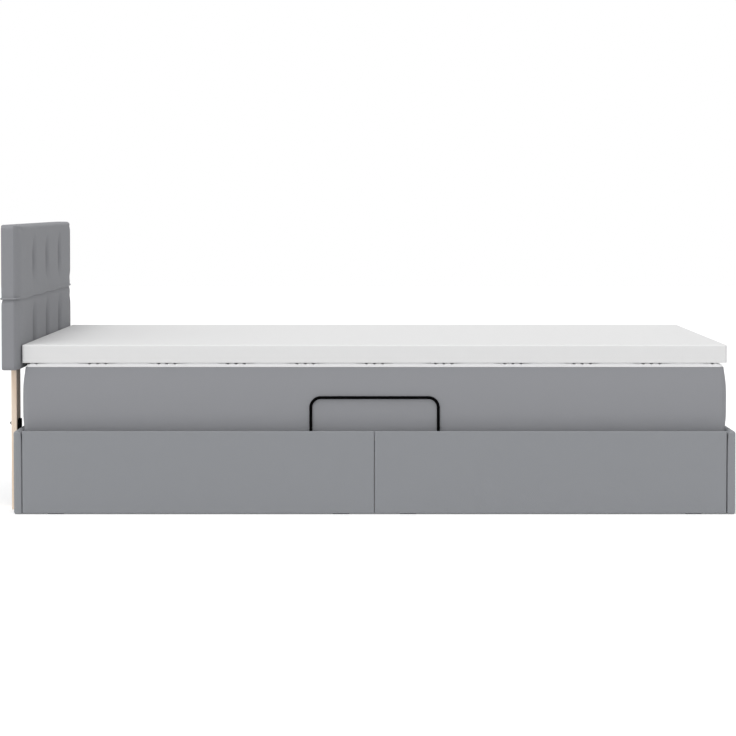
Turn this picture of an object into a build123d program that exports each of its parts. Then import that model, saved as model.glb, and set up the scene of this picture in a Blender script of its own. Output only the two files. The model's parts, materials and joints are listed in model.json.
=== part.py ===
from build123d import *
import math
import os

# Single storage bed whose mattress lifts at the long side, in millimetres.
# X runs from the head to the foot, Y from the near side (opening) to the far side, Z up from the floor.

# Mattress, which the box is built round, and its topper
MATTRESS_LENGTH = 1895.0
MATTRESS_WIDTH = 897.0
MATTRESS_HIGH = 189.0
MATTRESS_CAP = 11.0
MATTRESS_CORNER = 14.0
MATTRESS_DRAWN_IN = 4.5
MATTRESS_TOP_ROUND = 6.0
MATTRESS_END_CLEAR = 1.0
MATTRESS_SIDE_CLEAR = 11.5
TOPPER_OVER_END = 3.5
TOPPER_OVER_SIDE = 1.5
TOPPER_THICK = 49.0
TOPPER_CORNER = 10.0
TOPPER_EDGE_ROUND = 6.0
QUILT_STEP = 187.0
QUILT_SEAM_STEP = 22.0
QUILT_SEAM_RADIUS = 4.0
QUILT_SEAM_DEPTH = 3.0

# Box
BOX_HEIGHT = 224.0
END_THICK = 21.5
SIDE_THICK = 20.0
EDGE_ROUND = 6.0
SEAM_ROUND = 3.0
SEAM_GAP = 0.6
GLIDE_HEIGHT = 1.5
GLIDE_LENGTH = 44.0
GLIDE_WIDTH = 12.0
GLIDE_ROUND = 4.0
GLIDE_INSET = 90.0

# Inside of the box
PARTITION_THICK = 18.0
PARTITION_CLEAR = 23.0
PARTITION_DIP = 34.0
PARTITION_DIP_ROUND = 30.0
PARTITION_DIP_MARGIN = 150.0
BATTEN_WIDTH = 20.0
BATTEN_HEIGHT = 16.0
BATTEN_LOW = 6.0
FLOOR_THICK = 5.0
FLOOR_CLEAR = 1.0
BRACKET_LEG = 34.0
BRACKET_THICK = 2.5
BRACKET_DOWN = 10.0
BRACKET_LOW = 38.0
BRACKET_BOLT_INSET = 18.0
BRACKET_ROUND = 3.0
BOLT_RADIUS = 3.0
BOLT_HEAD_RADIUS = 6.0
BOLT_HEAD_HEIGHT = 3.4
BOLT_DEPTH = 14.0
BOLT_CLEAR = 0.15
REST_LENGTH = 70.0
REST_WIDTH = 34.0
REST_HEIGHT = 60.0
REST_ROUND = 6.0
REST_INSET = 260.0
REST_PAD_THICK = 5.0
REST_PAD_MARGIN = 5.0
SEAT_GAP = 0.3

# Lift linkage, places in the plane across the bed: how far in from the far panel, and height
REAR_PIVOT_IN = 232.0
REAR_PIVOT_Z = 142.0
FRONT_PIVOT_IN = 502.0
FRONT_PIVOT_Z = 50.0
REAR_TOP_IN = 75.0
REAR_TOP_Z = 129.0
FRONT_TOP_IN = 144.0
FRONT_TOP_Z = 80.0
STRUT_FOOT_IN = 251.0
STRUT_FOOT_Z = 42.0
STRUT_TOP_IN = 78.0
STRUT_TOP_Z = 107.0
LINK_SLACK = 2.1
STRUT_SLACK = 2.6

# Lift plates and arms
LIFT_PLATE = 3.0
LIFT_PLATE_MARGIN = 16.0
LIFT_PLATE_ROUND = 9.0
LIFT_PLATE_LOW = 31.0
ARM_THICK = 5.0
ARM_WIDTH = 25.0
ARM_SLOT_WIDTH = 9.0
ARM_SLOT_MARGIN = 34.0
LAYER_GAP = 1.0
PIN_RADIUS = 5.0
PIN_CLEAR = 0.05
PIN_HEAD_RADIUS = 9.5
PIN_HEAD_THICK = 2.0
PIN_HEAD_GAP = 0.3
LIFT_SCREW_RADIUS = 2.5
LIFT_SCREW_HEAD_RADIUS = 5.0
LIFT_SCREW_HEAD_HEIGHT = 2.6
LIFT_SCREW_DEPTH = 14.0

# Gas strut
STRUT_RADIUS = 9.0
STRUT_WALL = 1.5
STRUT_LENGTH = 128.0
STRUT_ROD_RADIUS = 4.0
STRUT_PISTON_LENGTH = 6.0
STRUT_PISTON_PLACE = 8.0
STRUT_CAP = 4.0
STRUT_EYE_RADIUS = 10.5
STRUT_EYE_THICK = 10.0
STRUT_NECK_RADIUS = 4.9
STRUT_PIN_RADIUS = 4.5
STRUT_PLANE_CLEAR = 1.0

# Lid frame
RAIL_HIGH = 30.0
RAIL_WIDE = 20.0
RAIL_WALL = 1.5
RAIL_ROUND = 2.5
LID_SUNK = 61.0
LID_SIDE_CLEAR = 15.0
RAIL_CAP_THICK = 2.0
SLAT_COUNT = 14
SLAT_WIDTH = 53.0
SLAT_THICK = 8.0
SLAT_ROUND = 3.0
HOLDER_BASE = 3.7
HOLDER_WALL = 3.0
HOLDER_DEPTH = 38.0
HOLDER_ROUND = 2.0

# Retaining bar
BAR_RADIUS = 4.0
BAR_SPAN = 344.0
BAR_TOP = 312.0
BAR_BEND = 27.0
BAR_HOOK_BEND = 10.0
BAR_CLEAR = 0.7
BAR_END = 10.0
BAR_NUT_FLATS = 13.0
BAR_NUT_THICK = 6.5
BAR_HOLE_CLEAR = 0.3

# Headboard
HEADBOARD_NARROW = 5.0
HEADBOARD_LAP = 19.0
HEADBOARD_HIGH = 392.0
HEADBOARD_BEHIND = 32.0
HEADBOARD_CLEAR = 1.0
HEADBOARD_CROWN = 2.0
PAD_EDGE_ROUND = 13.0
PAD_RIM_DRAW = 6.0
PAD_BACK_ROUND = 5.0
BOARD_THICK = 9.0
BOARD_INSET = 16.0
TUFT_COLUMNS = 4
TUFT_DEPTH = 9.5
WELT_HEIGHT = 8.0
WELT_DEPTH = 3.0
WELT_PROUD = 2.0
WELT_ROUND = 2.9

# Headboard legs and plates
LEG_THICK = 15.0
LEG_WIDTH = 61.0
LEG_INSET = 87.0
LEG_IN_BOARD = 190.0
LEG_ROUND = 1.5
LEG_PLATE_THICK = 5.6
LEG_PLATE_WIDTH = 40.0
LEG_PLATE_UP = 22.0
LEG_PLATE_LOW = 95.0
LEG_PLATE_ROUND = 6.0
LEG_BOLT_UP = 10.0
LEG_BOLT_RADIUS = 3.0
LEG_BOLT_HEAD_RADIUS = 5.8
LEG_BOLT_HEAD_HEIGHT = 2.0
LEG_BOLT_END = 2.5
LEG_NUT_FLATS = 10.0
LEG_NUT_THICK = 5.0
LEG_WASHER_RADIUS = 6.5
LEG_WASHER_THICK = 1.4
LEG_SCREW_RADIUS = 2.0
LEG_SCREW_HEAD_RADIUS = 4.5
LEG_SCREW_HEAD_HEIGHT = 2.4
LEG_SCREW_DEPTH = 7.0
LEG_SCREW_STEP = 120.0

# One overrun serves every cut
OVERRUN = 5.0

# Shapes given as shares of the sizes that they follow
ROW_HEIGHT_SHARES = (0.0, 0.1, 0.28, 0.5, 0.72, 0.9, 1.0)
ROW_TUFT_SHARES = (0.0, 0.04, 0.55, 1.0, 0.55, 0.04, 0.0)
MATTRESS_HEIGHT_SHARES = (0.0, 0.08, 0.35, 0.65, 0.92, 1.0)
MATTRESS_DRAWN_SHARES = (1.4, 0.35, 0.0, 0.0, 0.35, 1.0)
TOPPER_HEIGHT_SHARES = (0.0, 0.16, 0.5, 0.84, 1.0)
TOPPER_INSET_SHARES = (0.5, 0.1, 0.0, 0.12, 1.0)
BOTH = (-1, 1)

# Places that follow from the sizes
x_middle = (HEADBOARD_BEHIND + WELT_PROUD) / 2
x_head_in = x_middle - MATTRESS_LENGTH / 2 - MATTRESS_END_CLEAR
x_foot_in = x_middle + MATTRESS_LENGTH / 2 + MATTRESS_END_CLEAR
x_head_out = x_head_in - END_THICK
x_foot_out = x_foot_in + END_THICK
y_side_in = MATTRESS_WIDTH / 2 + MATTRESS_SIDE_CLEAR
y_side_out = y_side_in + SIDE_THICK
topper_length = MATTRESS_LENGTH + 2 * TOPPER_OVER_END
topper_width = MATTRESS_WIDTH + 2 * TOPPER_OVER_SIDE
lid_half_width = y_side_in - LID_SIDE_CLEAR
bar_y = -MATTRESS_WIDTH / 2 - BAR_CLEAR - BAR_RADIUS
rail_low = BOX_HEIGHT - LID_SUNK
rail_top = rail_low + RAIL_HIGH
partition_top = rail_low - PARTITION_CLEAR
bracket_height = partition_top - BRACKET_DOWN - BRACKET_LOW
mattress_low = rail_top + HOLDER_BASE + SLAT_THICK + SEAT_GAP
mattress_edge = mattress_low + MATTRESS_HIGH
mattress_top_z = mattress_edge + MATTRESS_CAP
floor_low = BATTEN_LOW + BATTEN_HEIGHT
floor_top = floor_low + FLOOR_THICK
headboard_width = 2 * (y_side_out - HEADBOARD_NARROW)
headboard_low = mattress_top_z - HEADBOARD_LAP
headboard_top = headboard_low + HEADBOARD_HIGH

# Pivots of the lift linkage
rear_pivot_y = y_side_in - REAR_PIVOT_IN
front_pivot_y = y_side_in - FRONT_PIVOT_IN
rear_top_y = y_side_in - REAR_TOP_IN
front_top_y = y_side_in - FRONT_TOP_IN
strut_foot_y = y_side_in - STRUT_FOOT_IN
strut_top_y = y_side_in - STRUT_TOP_IN

# Layers of the linkage, counted from the end panel's inner face towards the middle of the bed
rear_arm_layer = LIFT_PLATE + LAYER_GAP
top_plate_layer = rear_arm_layer + ARM_THICK + LAYER_GAP
front_arm_layer = top_plate_layer + LIFT_PLATE + LAYER_GAP
front_head_layer = front_arm_layer + ARM_THICK + PIN_HEAD_GAP
strut_centre = front_head_layer + PIN_HEAD_THICK + STRUT_PLANE_CLEAR + STRUT_RADIUS
rail_layer = top_plate_layer + LIFT_PLATE
lid_x_head = x_head_in + rail_layer
lid_x_foot = x_foot_in - rail_layer

NODES = {}


def keep(name, *solids):
    """Store one piece, or one group of equal pieces, under its name."""
    NODES[name] = solids[0] if len(solids) == 1 else Compound(children=list(solids))


def block(x0, x1, y0, y1, z0, z1):
    """A plain block between two corners."""
    centre = ((x0 + x1) / 2, (y0 + y1) / 2, (z0 + z1) / 2)
    return Pos(*centre) * Box(x1 - x0, y1 - y0, z1 - z0)


def rod_x(x0, x1, y, z, radius):
    """A round rod along X."""
    return Pos((x0 + x1) / 2, y, z) * Rot(0, 90, 0) * Cylinder(radius, abs(x1 - x0))


def rod_y(y0, y1, x, z, radius):
    """A round rod along Y."""
    return Pos(x, (y0 + y1) / 2, z) * Rot(90, 0, 0) * Cylinder(radius, abs(y1 - y0))


def hexagon_x(x0, x1, y, z, flats):
    """A hexagonal nut body along X."""
    sketch = RegularPolygon(flats / 2, 6, major_radius=False)
    return Pos(x0, y, z) * Rot(0, 90, 0) * extrude(sketch, x1 - x0)


def plate_from(points, x0, thick, corner):
    """A flat plate square to X, cut from an outline of (y, z) points with rounded corners."""
    face = make_face(FilletPolyline(*points, radius=corner, close=True))
    plane = Plane(origin=(x0, 0, 0), x_dir=(0, 1, 0), z_dir=(1, 0, 0))
    return extrude(plane * face, thick)


def end_x(end, depth):
    """X of a layer at one end of the bed: end is -1 at the head and 1 at the foot."""
    return x_head_in + depth if end < 0 else x_foot_in - depth


def span_x(end, depth, thick):
    """The two X limits of a layer, low one first."""
    a = end_x(end, depth)
    b = end_x(end, depth + thick)
    return min(a, b), max(a, b)


def end_name(end):
    return "head" if end < 0 else "foot"


def side_name(side):
    return "near" if side < 0 else "far"


def end_panel(end):
    """Fabric-covered end panel, as wide as the bed, with soft outer edges."""
    out = x_head_out if end < 0 else x_foot_out
    inner = x_head_in if end < 0 else x_foot_in
    panel = block(min(out, inner), max(out, inner), -y_side_out, y_side_out, GLIDE_HEIGHT, BOX_HEIGHT)
    top = panel.edges().filter_by(Axis.Y).group_by(Axis.Z)[-1]
    upright = panel.edges().filter_by(Axis.Z).sort_by(lambda e: abs(e.center().X - out))[:2]
    return fillet(top + upright, EDGE_ROUND)


def side_panel(side, end):
    """Fabric-covered half of a long side, from the end panel to the seam at the middle."""
    outer = x_head_in if end < 0 else x_foot_in
    seam = x_middle + end * SEAM_GAP / 2
    out = side * y_side_out
    inner = side * y_side_in
    panel = block(min(outer, seam), max(outer, seam), min(out, inner), max(out, inner),
                  GLIDE_HEIGHT, BOX_HEIGHT)
    top = panel.edges().filter_by(Axis.X).group_by(Axis.Z)[-1]
    panel = fillet(top, EDGE_ROUND)
    upright = panel.edges().filter_by(Axis.Z).sort_by(lambda e: abs(e.center().Y - out))[:2]
    return fillet(upright, SEAM_ROUND)


def partition():
    """Cross board under the middle of the mattress, dipped between its two high ends."""
    dip = partition_top - PARTITION_DIP
    board = block(x_middle - PARTITION_THICK / 2, x_middle + PARTITION_THICK / 2,
                  -y_side_in, y_side_in, GLIDE_HEIGHT, partition_top)
    half = y_side_in - PARTITION_DIP_MARGIN
    cut = block(x_middle - PARTITION_THICK, x_middle + PARTITION_THICK, -half, half, dip,
                partition_top + PARTITION_DIP)
    low = cut.edges().filter_by(Axis.X).group_by(Axis.Z)[0]
    return board - fillet(low, PARTITION_DIP_ROUND)


def battens():
    """Wooden battens that carry the floor boards along the panels and the partition."""
    found = []
    for end in BOTH:
        a = x_head_in if end < 0 else x_foot_in
        b = x_middle + end * PARTITION_THICK / 2
        low, high = min(a, b), max(a, b)
        for side in BOTH:
            wall = side * y_side_in
            inner = wall - side * BATTEN_WIDTH
            found.append(block(low, high, min(wall, inner), max(wall, inner), BATTEN_LOW, floor_low))
        width = y_side_in - BATTEN_WIDTH
        found.append(block(low, low + BATTEN_WIDTH, -width, width, BATTEN_LOW, floor_low))
        found.append(block(high - BATTEN_WIDTH, high, -width, width, BATTEN_LOW, floor_low))
    return found


def floor_board(end):
    """Thin floor board of one storage space, lying on the battens."""
    a = (x_head_in if end < 0 else x_foot_in) - end * FLOOR_CLEAR
    b = x_middle + end * (PARTITION_THICK / 2 + FLOOR_CLEAR)
    width = y_side_in - FLOOR_CLEAR
    return block(min(a, b), max(a, b), -width, width, floor_low, floor_top)


def angle_bracket(corner_x, turn_x, side):
    """Steel angle between a cross piece and a side panel, with rounded leg ends."""
    wall = side * y_side_in
    top = BRACKET_LOW + bracket_height
    x_tip = corner_x + turn_x * BRACKET_LEG
    x_face = corner_x + turn_x * BRACKET_THICK
    y_tip = wall - side * BRACKET_LEG
    y_face = wall - side * BRACKET_THICK
    along = block(min(corner_x, x_tip), max(corner_x, x_tip), min(wall, y_face), max(wall, y_face), BRACKET_LOW, top)
    along = fillet(along.edges().filter_by(Axis.Y).sort_by(lambda e: -turn_x * e.center().X)[:2], BRACKET_ROUND)
    across = block(min(corner_x, x_face), max(corner_x, x_face), min(wall, y_tip), max(wall, y_tip), BRACKET_LOW, top)
    across = fillet(across.edges().filter_by(Axis.X).sort_by(lambda e: side * e.center().Y)[:2], BRACKET_ROUND)
    return along + across


def bracket_places():
    """Corner X, direction along X and side of each angle bracket: box corners, then partition."""
    for side in BOTH:
        yield x_head_in, 1, side
        yield x_foot_in, -1, side
        yield x_middle - PARTITION_THICK / 2, -1, side
        yield x_middle + PARTITION_THICK / 2, 1, side


def bracket_bolt_heights():
    margin = bracket_height / 4
    return BRACKET_LOW + margin, BRACKET_LOW + bracket_height - margin


def bracket_bolts(corner_x, turn_x, side, grow):
    """Bolts through a bracket's two legs. With grow they are the tools that cut the bolt holes."""
    wall = side * y_side_in
    face = wall - side * BRACKET_THICK
    found = []
    for z in bracket_bolt_heights():
        x = corner_x + turn_x * BRACKET_BOLT_INSET
        shank = rod_y(face, wall + side * BOLT_DEPTH, x, z, BOLT_RADIUS + grow)
        head = rod_y(face, face - side * BOLT_HEAD_HEIGHT, x, z, BOLT_HEAD_RADIUS)
        found.append(shank if grow else shank + head)
    return found


def cross_bolts(corner_x, turn_x, side, grow):
    """Bolts through the leg that lies on the end panel or on the partition."""
    y = side * (y_side_in - BRACKET_BOLT_INSET)
    face = corner_x + turn_x * BRACKET_THICK
    depth = BOLT_DEPTH if turn_x * (corner_x - x_middle) < 0 else PARTITION_THICK / 2 - BOLT_CLEAR
    found = []
    for z in bracket_bolt_heights():
        shank = rod_x(face, corner_x - turn_x * depth, y, z, BOLT_RADIUS + grow)
        head = rod_x(face, face + turn_x * BOLT_HEAD_HEIGHT, y, z, BOLT_HEAD_RADIUS)
        found.append(shank if grow else shank + head)
    return found


def rest_places():
    for end in BOTH:
        wall = x_head_in if end < 0 else x_foot_in
        for side in BOTH:
            yield wall - end * REST_INSET, side


def rest_block(x, side):
    """Wooden block on a side panel that the closed lid rests on, rounded underneath."""
    wall = side * y_side_in
    inner = wall - side * REST_WIDTH
    top = rail_low - SEAT_GAP - REST_PAD_THICK
    body = block(x - REST_LENGTH / 2, x + REST_LENGTH / 2, min(wall, inner), max(wall, inner),
                 top - REST_HEIGHT, top)
    low = body.edges().filter_by(Axis.Y).group_by(Axis.Z)[0]
    return fillet(low, REST_ROUND)


def rest_pad(x, side):
    """Rubber pad on a rest block."""
    wall = side * (y_side_in - REST_PAD_MARGIN)
    inner = side * (y_side_in - REST_WIDTH + REST_PAD_MARGIN)
    half = REST_LENGTH / 2 - REST_PAD_MARGIN
    top = rail_low - SEAT_GAP
    return block(x - half, x + half, min(wall, inner), max(wall, inner), top - REST_PAD_THICK, top)


def glides():
    """Plastic glides under the panels."""
    found = []
    along = RectangleRounded(GLIDE_LENGTH, GLIDE_WIDTH, GLIDE_ROUND)
    across = RectangleRounded(GLIDE_WIDTH, GLIDE_LENGTH, GLIDE_ROUND)
    x_places = (x_head_in + GLIDE_INSET, x_middle - GLIDE_INSET, x_middle + GLIDE_INSET, x_foot_in - GLIDE_INSET)
    for x in x_places:
        for side in BOTH:
            y = side * (y_side_in + SIDE_THICK / 2)
            found.append(Pos(x, y, 0) * extrude(along, GLIDE_HEIGHT))
    for x in (x_head_out + END_THICK / 2, x_foot_out - END_THICK / 2):
        for side in BOTH:
            y = side * (y_side_in - GLIDE_INSET)
            found.append(Pos(x, y, 0) * extrude(across, GLIDE_HEIGHT))
    return found


def lift_plate_points():
    """Outline of the steel base plate round its three pivots."""
    margin = LIFT_PLATE_MARGIN
    return [
        (front_pivot_y - 2 * margin, LIFT_PLATE_LOW),
        (rear_pivot_y + 2 * margin, LIFT_PLATE_LOW),
        (rear_pivot_y + 2 * margin, STRUT_FOOT_Z + 2 * margin),
        (rear_pivot_y + margin, REAR_PIVOT_Z + margin),
        (rear_pivot_y - 3 * margin, REAR_PIVOT_Z + margin),
        (rear_pivot_y - 6 * margin, FRONT_PIVOT_Z + 2 * margin),
        (front_pivot_y - 2 * margin, FRONT_PIVOT_Z + margin),
    ]


def lift_screw_places():
    """Screw places of the base plate, clear of the arms' sweep."""
    margin = LIFT_PLATE_MARGIN
    low = LIFT_PLATE_LOW + margin * 3 / 4
    return [
        (front_pivot_y - 1.4 * margin, low),
        (front_pivot_y + 5 * margin, low),
        (rear_pivot_y + 1.3 * margin, low),
        (rear_pivot_y - 2.2 * margin, REAR_PIVOT_Z + margin / 4),
    ]


def lift_plate(end):
    low, high = span_x(end, 0, LIFT_PLATE)
    plate = plate_from(lift_plate_points(), low, LIFT_PLATE, LIFT_PLATE_ROUND)
    for y, z in lift_screw_places():
        plate -= rod_x(low - OVERRUN, high + OVERRUN, y, z, LIFT_SCREW_RADIUS + BOLT_CLEAR)
    return plate


def lift_screws(end, grow):
    """Wood screws that hold the base plate to the end panel."""
    wall = end_x(end, 0)
    face = end_x(end, LIFT_PLATE)
    found = []
    for y, z in lift_screw_places():
        shank = rod_x(face, wall + end * LIFT_SCREW_DEPTH, y, z, LIFT_SCREW_RADIUS + grow)
        head = rod_x(face, face - end * LIFT_SCREW_HEAD_HEIGHT, y, z, LIFT_SCREW_HEAD_RADIUS)
        found.append(shank if grow else shank + head)
    return found


def headed_pin(end, start, layer, y, z):
    """Pin that stands on a plate: a collar up to the arm's layer, the shank through it, a flat head."""
    head_at = layer + ARM_THICK + PIN_HEAD_GAP
    neck = rod_x(end_x(end, start), end_x(end, layer), y, z, PIN_HEAD_RADIUS)
    shank = rod_x(end_x(end, start), end_x(end, head_at), y, z, PIN_RADIUS)
    head = rod_x(end_x(end, head_at), end_x(end, head_at + PIN_HEAD_THICK), y, z, PIN_HEAD_RADIUS)
    return neck + shank + head


def outward_pin(end, y, z):
    """Pin on the lid plate's outer face that carries the rear arm."""
    neck = rod_x(end_x(end, top_plate_layer), end_x(end, rear_arm_layer + ARM_THICK), y, z, PIN_HEAD_RADIUS)
    head_at = rear_arm_layer - PIN_HEAD_GAP
    shank = rod_x(end_x(end, top_plate_layer), end_x(end, head_at), y, z, PIN_RADIUS)
    head = rod_x(end_x(end, head_at), end_x(end, head_at - PIN_HEAD_THICK), y, z, PIN_HEAD_RADIUS)
    return neck + shank + head


def arm(end, layer, y0, z0, y1, z1, hole0, hole1):
    """Flat steel arm with round ends, a hole at each end and a stiffening slot between them."""
    low, high = span_x(end, layer, ARM_THICK)
    length = math.hypot(y1 - y0, z1 - z0)
    sketch = SlotCenterToCenter(length, ARM_WIDTH)
    slot = SlotOverall(length - 2 * ARM_SLOT_MARGIN, ARM_SLOT_WIDTH)
    sketch -= slot
    sketch -= Pos(-length / 2, 0) * Circle(hole0)
    sketch -= Pos(length / 2, 0) * Circle(hole1)
    turn = math.degrees(math.atan2(z1 - z0, y1 - y0))
    plane = Plane(origin=(low, (y0 + y1) / 2, (z0 + z1) / 2), x_dir=(0, 1, 0), z_dir=(1, 0, 0))
    return extrude(plane * (Rot(0, 0, turn) * sketch), ARM_THICK)


def lid_plate(end):
    """Steel plate that hangs from the end rail and carries both arms and the strut's top."""
    low, high = span_x(end, top_plate_layer, LIFT_PLATE)
    margin = LIFT_PLATE_MARGIN
    points = [
        (front_top_y - margin, FRONT_TOP_Z - margin),
        (front_top_y + margin, FRONT_TOP_Z - margin),
        (strut_top_y + margin, STRUT_TOP_Z - margin),
        (rear_top_y + 2 * margin, REAR_TOP_Z + margin),
        (rear_top_y + 2 * margin, rail_top),
        (front_top_y - 3 * margin, rail_top),
        (front_top_y - 3 * margin, rail_low),
    ]
    return plate_from(points, low, LIFT_PLATE, RAIL_ROUND)


def strut_line():
    """Length and tilt of the closed strut between its two pins."""
    dy = strut_top_y - strut_foot_y
    dz = STRUT_TOP_Z - STRUT_FOOT_Z
    return math.hypot(dy, dz), math.degrees(math.atan2(dz, dy))


def along_strut(end, shape):
    """Place a shape drawn along +Z from the origin on the strut's line."""
    tilt = strut_line()[1]
    return Pos(end_x(end, strut_centre), strut_foot_y, STRUT_FOOT_Z) * Rot(tilt - 90, 0, 0) * shape


def strut_eye(end, y, z, bore):
    half = STRUT_EYE_THICK / 2
    centre = end_x(end, strut_centre)
    eye = rod_x(centre - half, centre + half, y, z, STRUT_EYE_RADIUS)
    return eye, rod_x(centre - half - OVERRUN, centre + half + OVERRUN, y, z, bore)


def upright(radius, z0, z1):
    return Pos(0, 0, (z0 + z1) / 2) * Cylinder(radius, z1 - z0)


def strut_cylinder(end):
    """Pressure tube with its closed foot, its eye and the guide that the rod runs through."""
    start = STRUT_EYE_RADIUS + STRUT_CAP
    stop = start + STRUT_LENGTH
    tube = upright(STRUT_RADIUS, start, stop)
    tube = chamfer(tube.edges().filter_by(GeomType.CIRCLE), STRUT_WALL)
    tube += upright(STRUT_NECK_RADIUS, 0, start + STRUT_CAP / 2)
    tube -= upright(STRUT_RADIUS - STRUT_WALL, start + STRUT_CAP, stop - STRUT_CAP)
    tube -= upright(STRUT_ROD_RADIUS + PIN_CLEAR, stop - STRUT_CAP - OVERRUN, stop + OVERRUN)
    eye, bore = strut_eye(end, strut_foot_y, STRUT_FOOT_Z, STRUT_PIN_RADIUS + PIN_CLEAR)
    return along_strut(end, tube) + eye - bore


def strut_rod(end):
    """Rod with its piston inside the tube and the eye at its top."""
    length = strut_line()[0]
    start = STRUT_EYE_RADIUS + 2 * STRUT_CAP + STRUT_PISTON_PLACE
    rod = upright(STRUT_ROD_RADIUS, start, length)
    rod += upright(STRUT_RADIUS - STRUT_WALL - PIN_CLEAR, start, start + STRUT_PISTON_LENGTH)
    rod += upright(STRUT_NECK_RADIUS, length - STRUT_EYE_RADIUS - STRUT_CAP, length)
    eye, bore = strut_eye(end, strut_top_y, STRUT_TOP_Z, STRUT_PIN_RADIUS + STRUT_SLACK)
    return along_strut(end, rod) + eye - bore


def strut_pin(end, start, y, z):
    """Pin that stands on a plate and goes through the strut's eye."""
    centre = strut_centre - STRUT_EYE_THICK / 2
    stop = strut_centre + STRUT_EYE_THICK / 2 + PIN_HEAD_GAP
    neck = rod_x(end_x(end, start), end_x(end, centre - PIN_HEAD_GAP), y, z, STRUT_NECK_RADIUS)
    collar = rod_x(end_x(end, centre - PIN_HEAD_GAP - PIN_HEAD_THICK), end_x(end, centre - PIN_HEAD_GAP), y, z,
                   PIN_HEAD_RADIUS)
    shank = rod_x(end_x(end, start), end_x(end, stop), y, z, STRUT_PIN_RADIUS)
    head = rod_x(end_x(end, stop), end_x(end, stop + PIN_HEAD_THICK), y, z, PIN_HEAD_RADIUS)
    return neck + collar + shank + head


def tube_y(x0, x1, y0, y1):
    """Rectangular steel tube along Y at the lid frame's height."""
    sketch = RectangleRounded(x1 - x0, RAIL_HIGH, RAIL_ROUND)
    sketch -= RectangleRounded(x1 - x0 - 2 * RAIL_WALL, RAIL_HIGH - 2 * RAIL_WALL, RAIL_ROUND - RAIL_WALL)
    plane = Plane(origin=((x0 + x1) / 2, y0, rail_low + RAIL_HIGH / 2), x_dir=(1, 0, 0), z_dir=(0, 1, 0))
    return extrude(plane * sketch, y1 - y0)


def tube_x(x0, x1, y0, y1):
    """Rectangular steel tube along X at the lid frame's height."""
    sketch = RectangleRounded(y1 - y0, RAIL_HIGH, RAIL_ROUND)
    sketch -= RectangleRounded(y1 - y0 - 2 * RAIL_WALL, RAIL_HIGH - 2 * RAIL_WALL, RAIL_ROUND - RAIL_WALL)
    plane = Plane(origin=(x0, (y0 + y1) / 2, rail_low + RAIL_HIGH / 2), x_dir=(0, 1, 0), z_dir=(1, 0, 0))
    return extrude(plane * sketch, x1 - x0)


def rail_caps():
    """Plastic plugs in the open ends of the two end rails."""
    found = []
    for x in (lid_x_head + RAIL_WIDE / 2, lid_x_foot - RAIL_WIDE / 2):
        for side in BOTH:
            y = side * lid_half_width
            plane = Plane(origin=(x, y, rail_low + RAIL_HIGH / 2), x_dir=(1, 0, 0), z_dir=(0, side, 0))
            found.append(extrude(plane * RectangleRounded(RAIL_WIDE, RAIL_HIGH, RAIL_ROUND), RAIL_CAP_THICK))
    return found


def slat_places():
    """Middle X of each slat, evenly spread between the end rails."""
    clear = lid_x_foot - lid_x_head - 2 * RAIL_WIDE
    gap = (clear - SLAT_COUNT * SLAT_WIDTH) / (SLAT_COUNT + 1)
    first = lid_x_head + RAIL_WIDE + gap + SLAT_WIDTH / 2
    return [first + i * (SLAT_WIDTH + gap) for i in range(SLAT_COUNT)]


def slat(x):
    """Springy wooden slat across the lid, with rounded long edges."""
    half = lid_half_width - HOLDER_WALL
    low = rail_top + HOLDER_BASE
    sketch = RectangleRounded(SLAT_WIDTH, SLAT_THICK, SLAT_ROUND)
    plane = Plane(origin=(x, -half, low + SLAT_THICK / 2), x_dir=(1, 0, 0), z_dir=(0, 1, 0))
    return extrude(plane * sketch, 2 * half)


def slat_holder(x, side):
    """Plastic shoe that holds a slat's end on the long rail."""
    wall = side * lid_half_width
    inner = wall - side * HOLDER_DEPTH
    half = SLAT_WIDTH / 2 + HOLDER_WALL
    shoe = block(x - half, x + half, min(wall, inner), max(wall, inner), rail_top,
                 rail_top + HOLDER_BASE + SLAT_THICK)
    shoe = fillet(shoe.edges().filter_by(Axis.Z), HOLDER_ROUND)
    pocket_wall = wall - side * HOLDER_WALL
    pocket_open = inner - side * OVERRUN
    pocket = block(x - SLAT_WIDTH / 2, x + SLAT_WIDTH / 2, min(pocket_wall, pocket_open),
                   max(pocket_wall, pocket_open), rail_top + HOLDER_BASE,
                   rail_top + HOLDER_BASE + SLAT_THICK + OVERRUN)
    return shoe - pocket


def bar_places():
    return x_middle - BAR_SPAN / 2, x_middle + BAR_SPAN / 2


def bar_hook_z():
    return rail_low + RAIL_HIGH / 2


def retaining_bar():
    """Round steel bar bent into a U, whose two ends hook through the near rail."""
    left, right = bar_places()
    hook = bar_hook_z()
    end_y = -lid_half_width + RAIL_WIDE + BAR_NUT_THICK + BAR_END
    path = FilletPolyline(
        (left, end_y, hook), (left, bar_y, hook), (left, bar_y, BAR_TOP),
        (right, bar_y, BAR_TOP), (right, bar_y, hook), (right, end_y, hook),
        radius=[BAR_HOOK_BEND, BAR_BEND, BAR_BEND, BAR_HOOK_BEND],
    )
    start = Plane(origin=path @ 0, z_dir=path % 0)
    return sweep(start * Circle(BAR_RADIUS), path=path)


def bar_nut(x):
    """Nut on the bar's threaded end, on the inner side of the near rail."""
    inner = -lid_half_width + RAIL_WIDE
    sketch = RegularPolygon(BAR_NUT_FLATS / 2, 6, major_radius=False) - Circle(BAR_RADIUS + PIN_CLEAR)
    plane = Plane(origin=(x, inner, bar_hook_z()), x_dir=(1, 0, 0), z_dir=(0, 1, 0))
    return extrude(plane * sketch, BAR_NUT_THICK)


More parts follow.
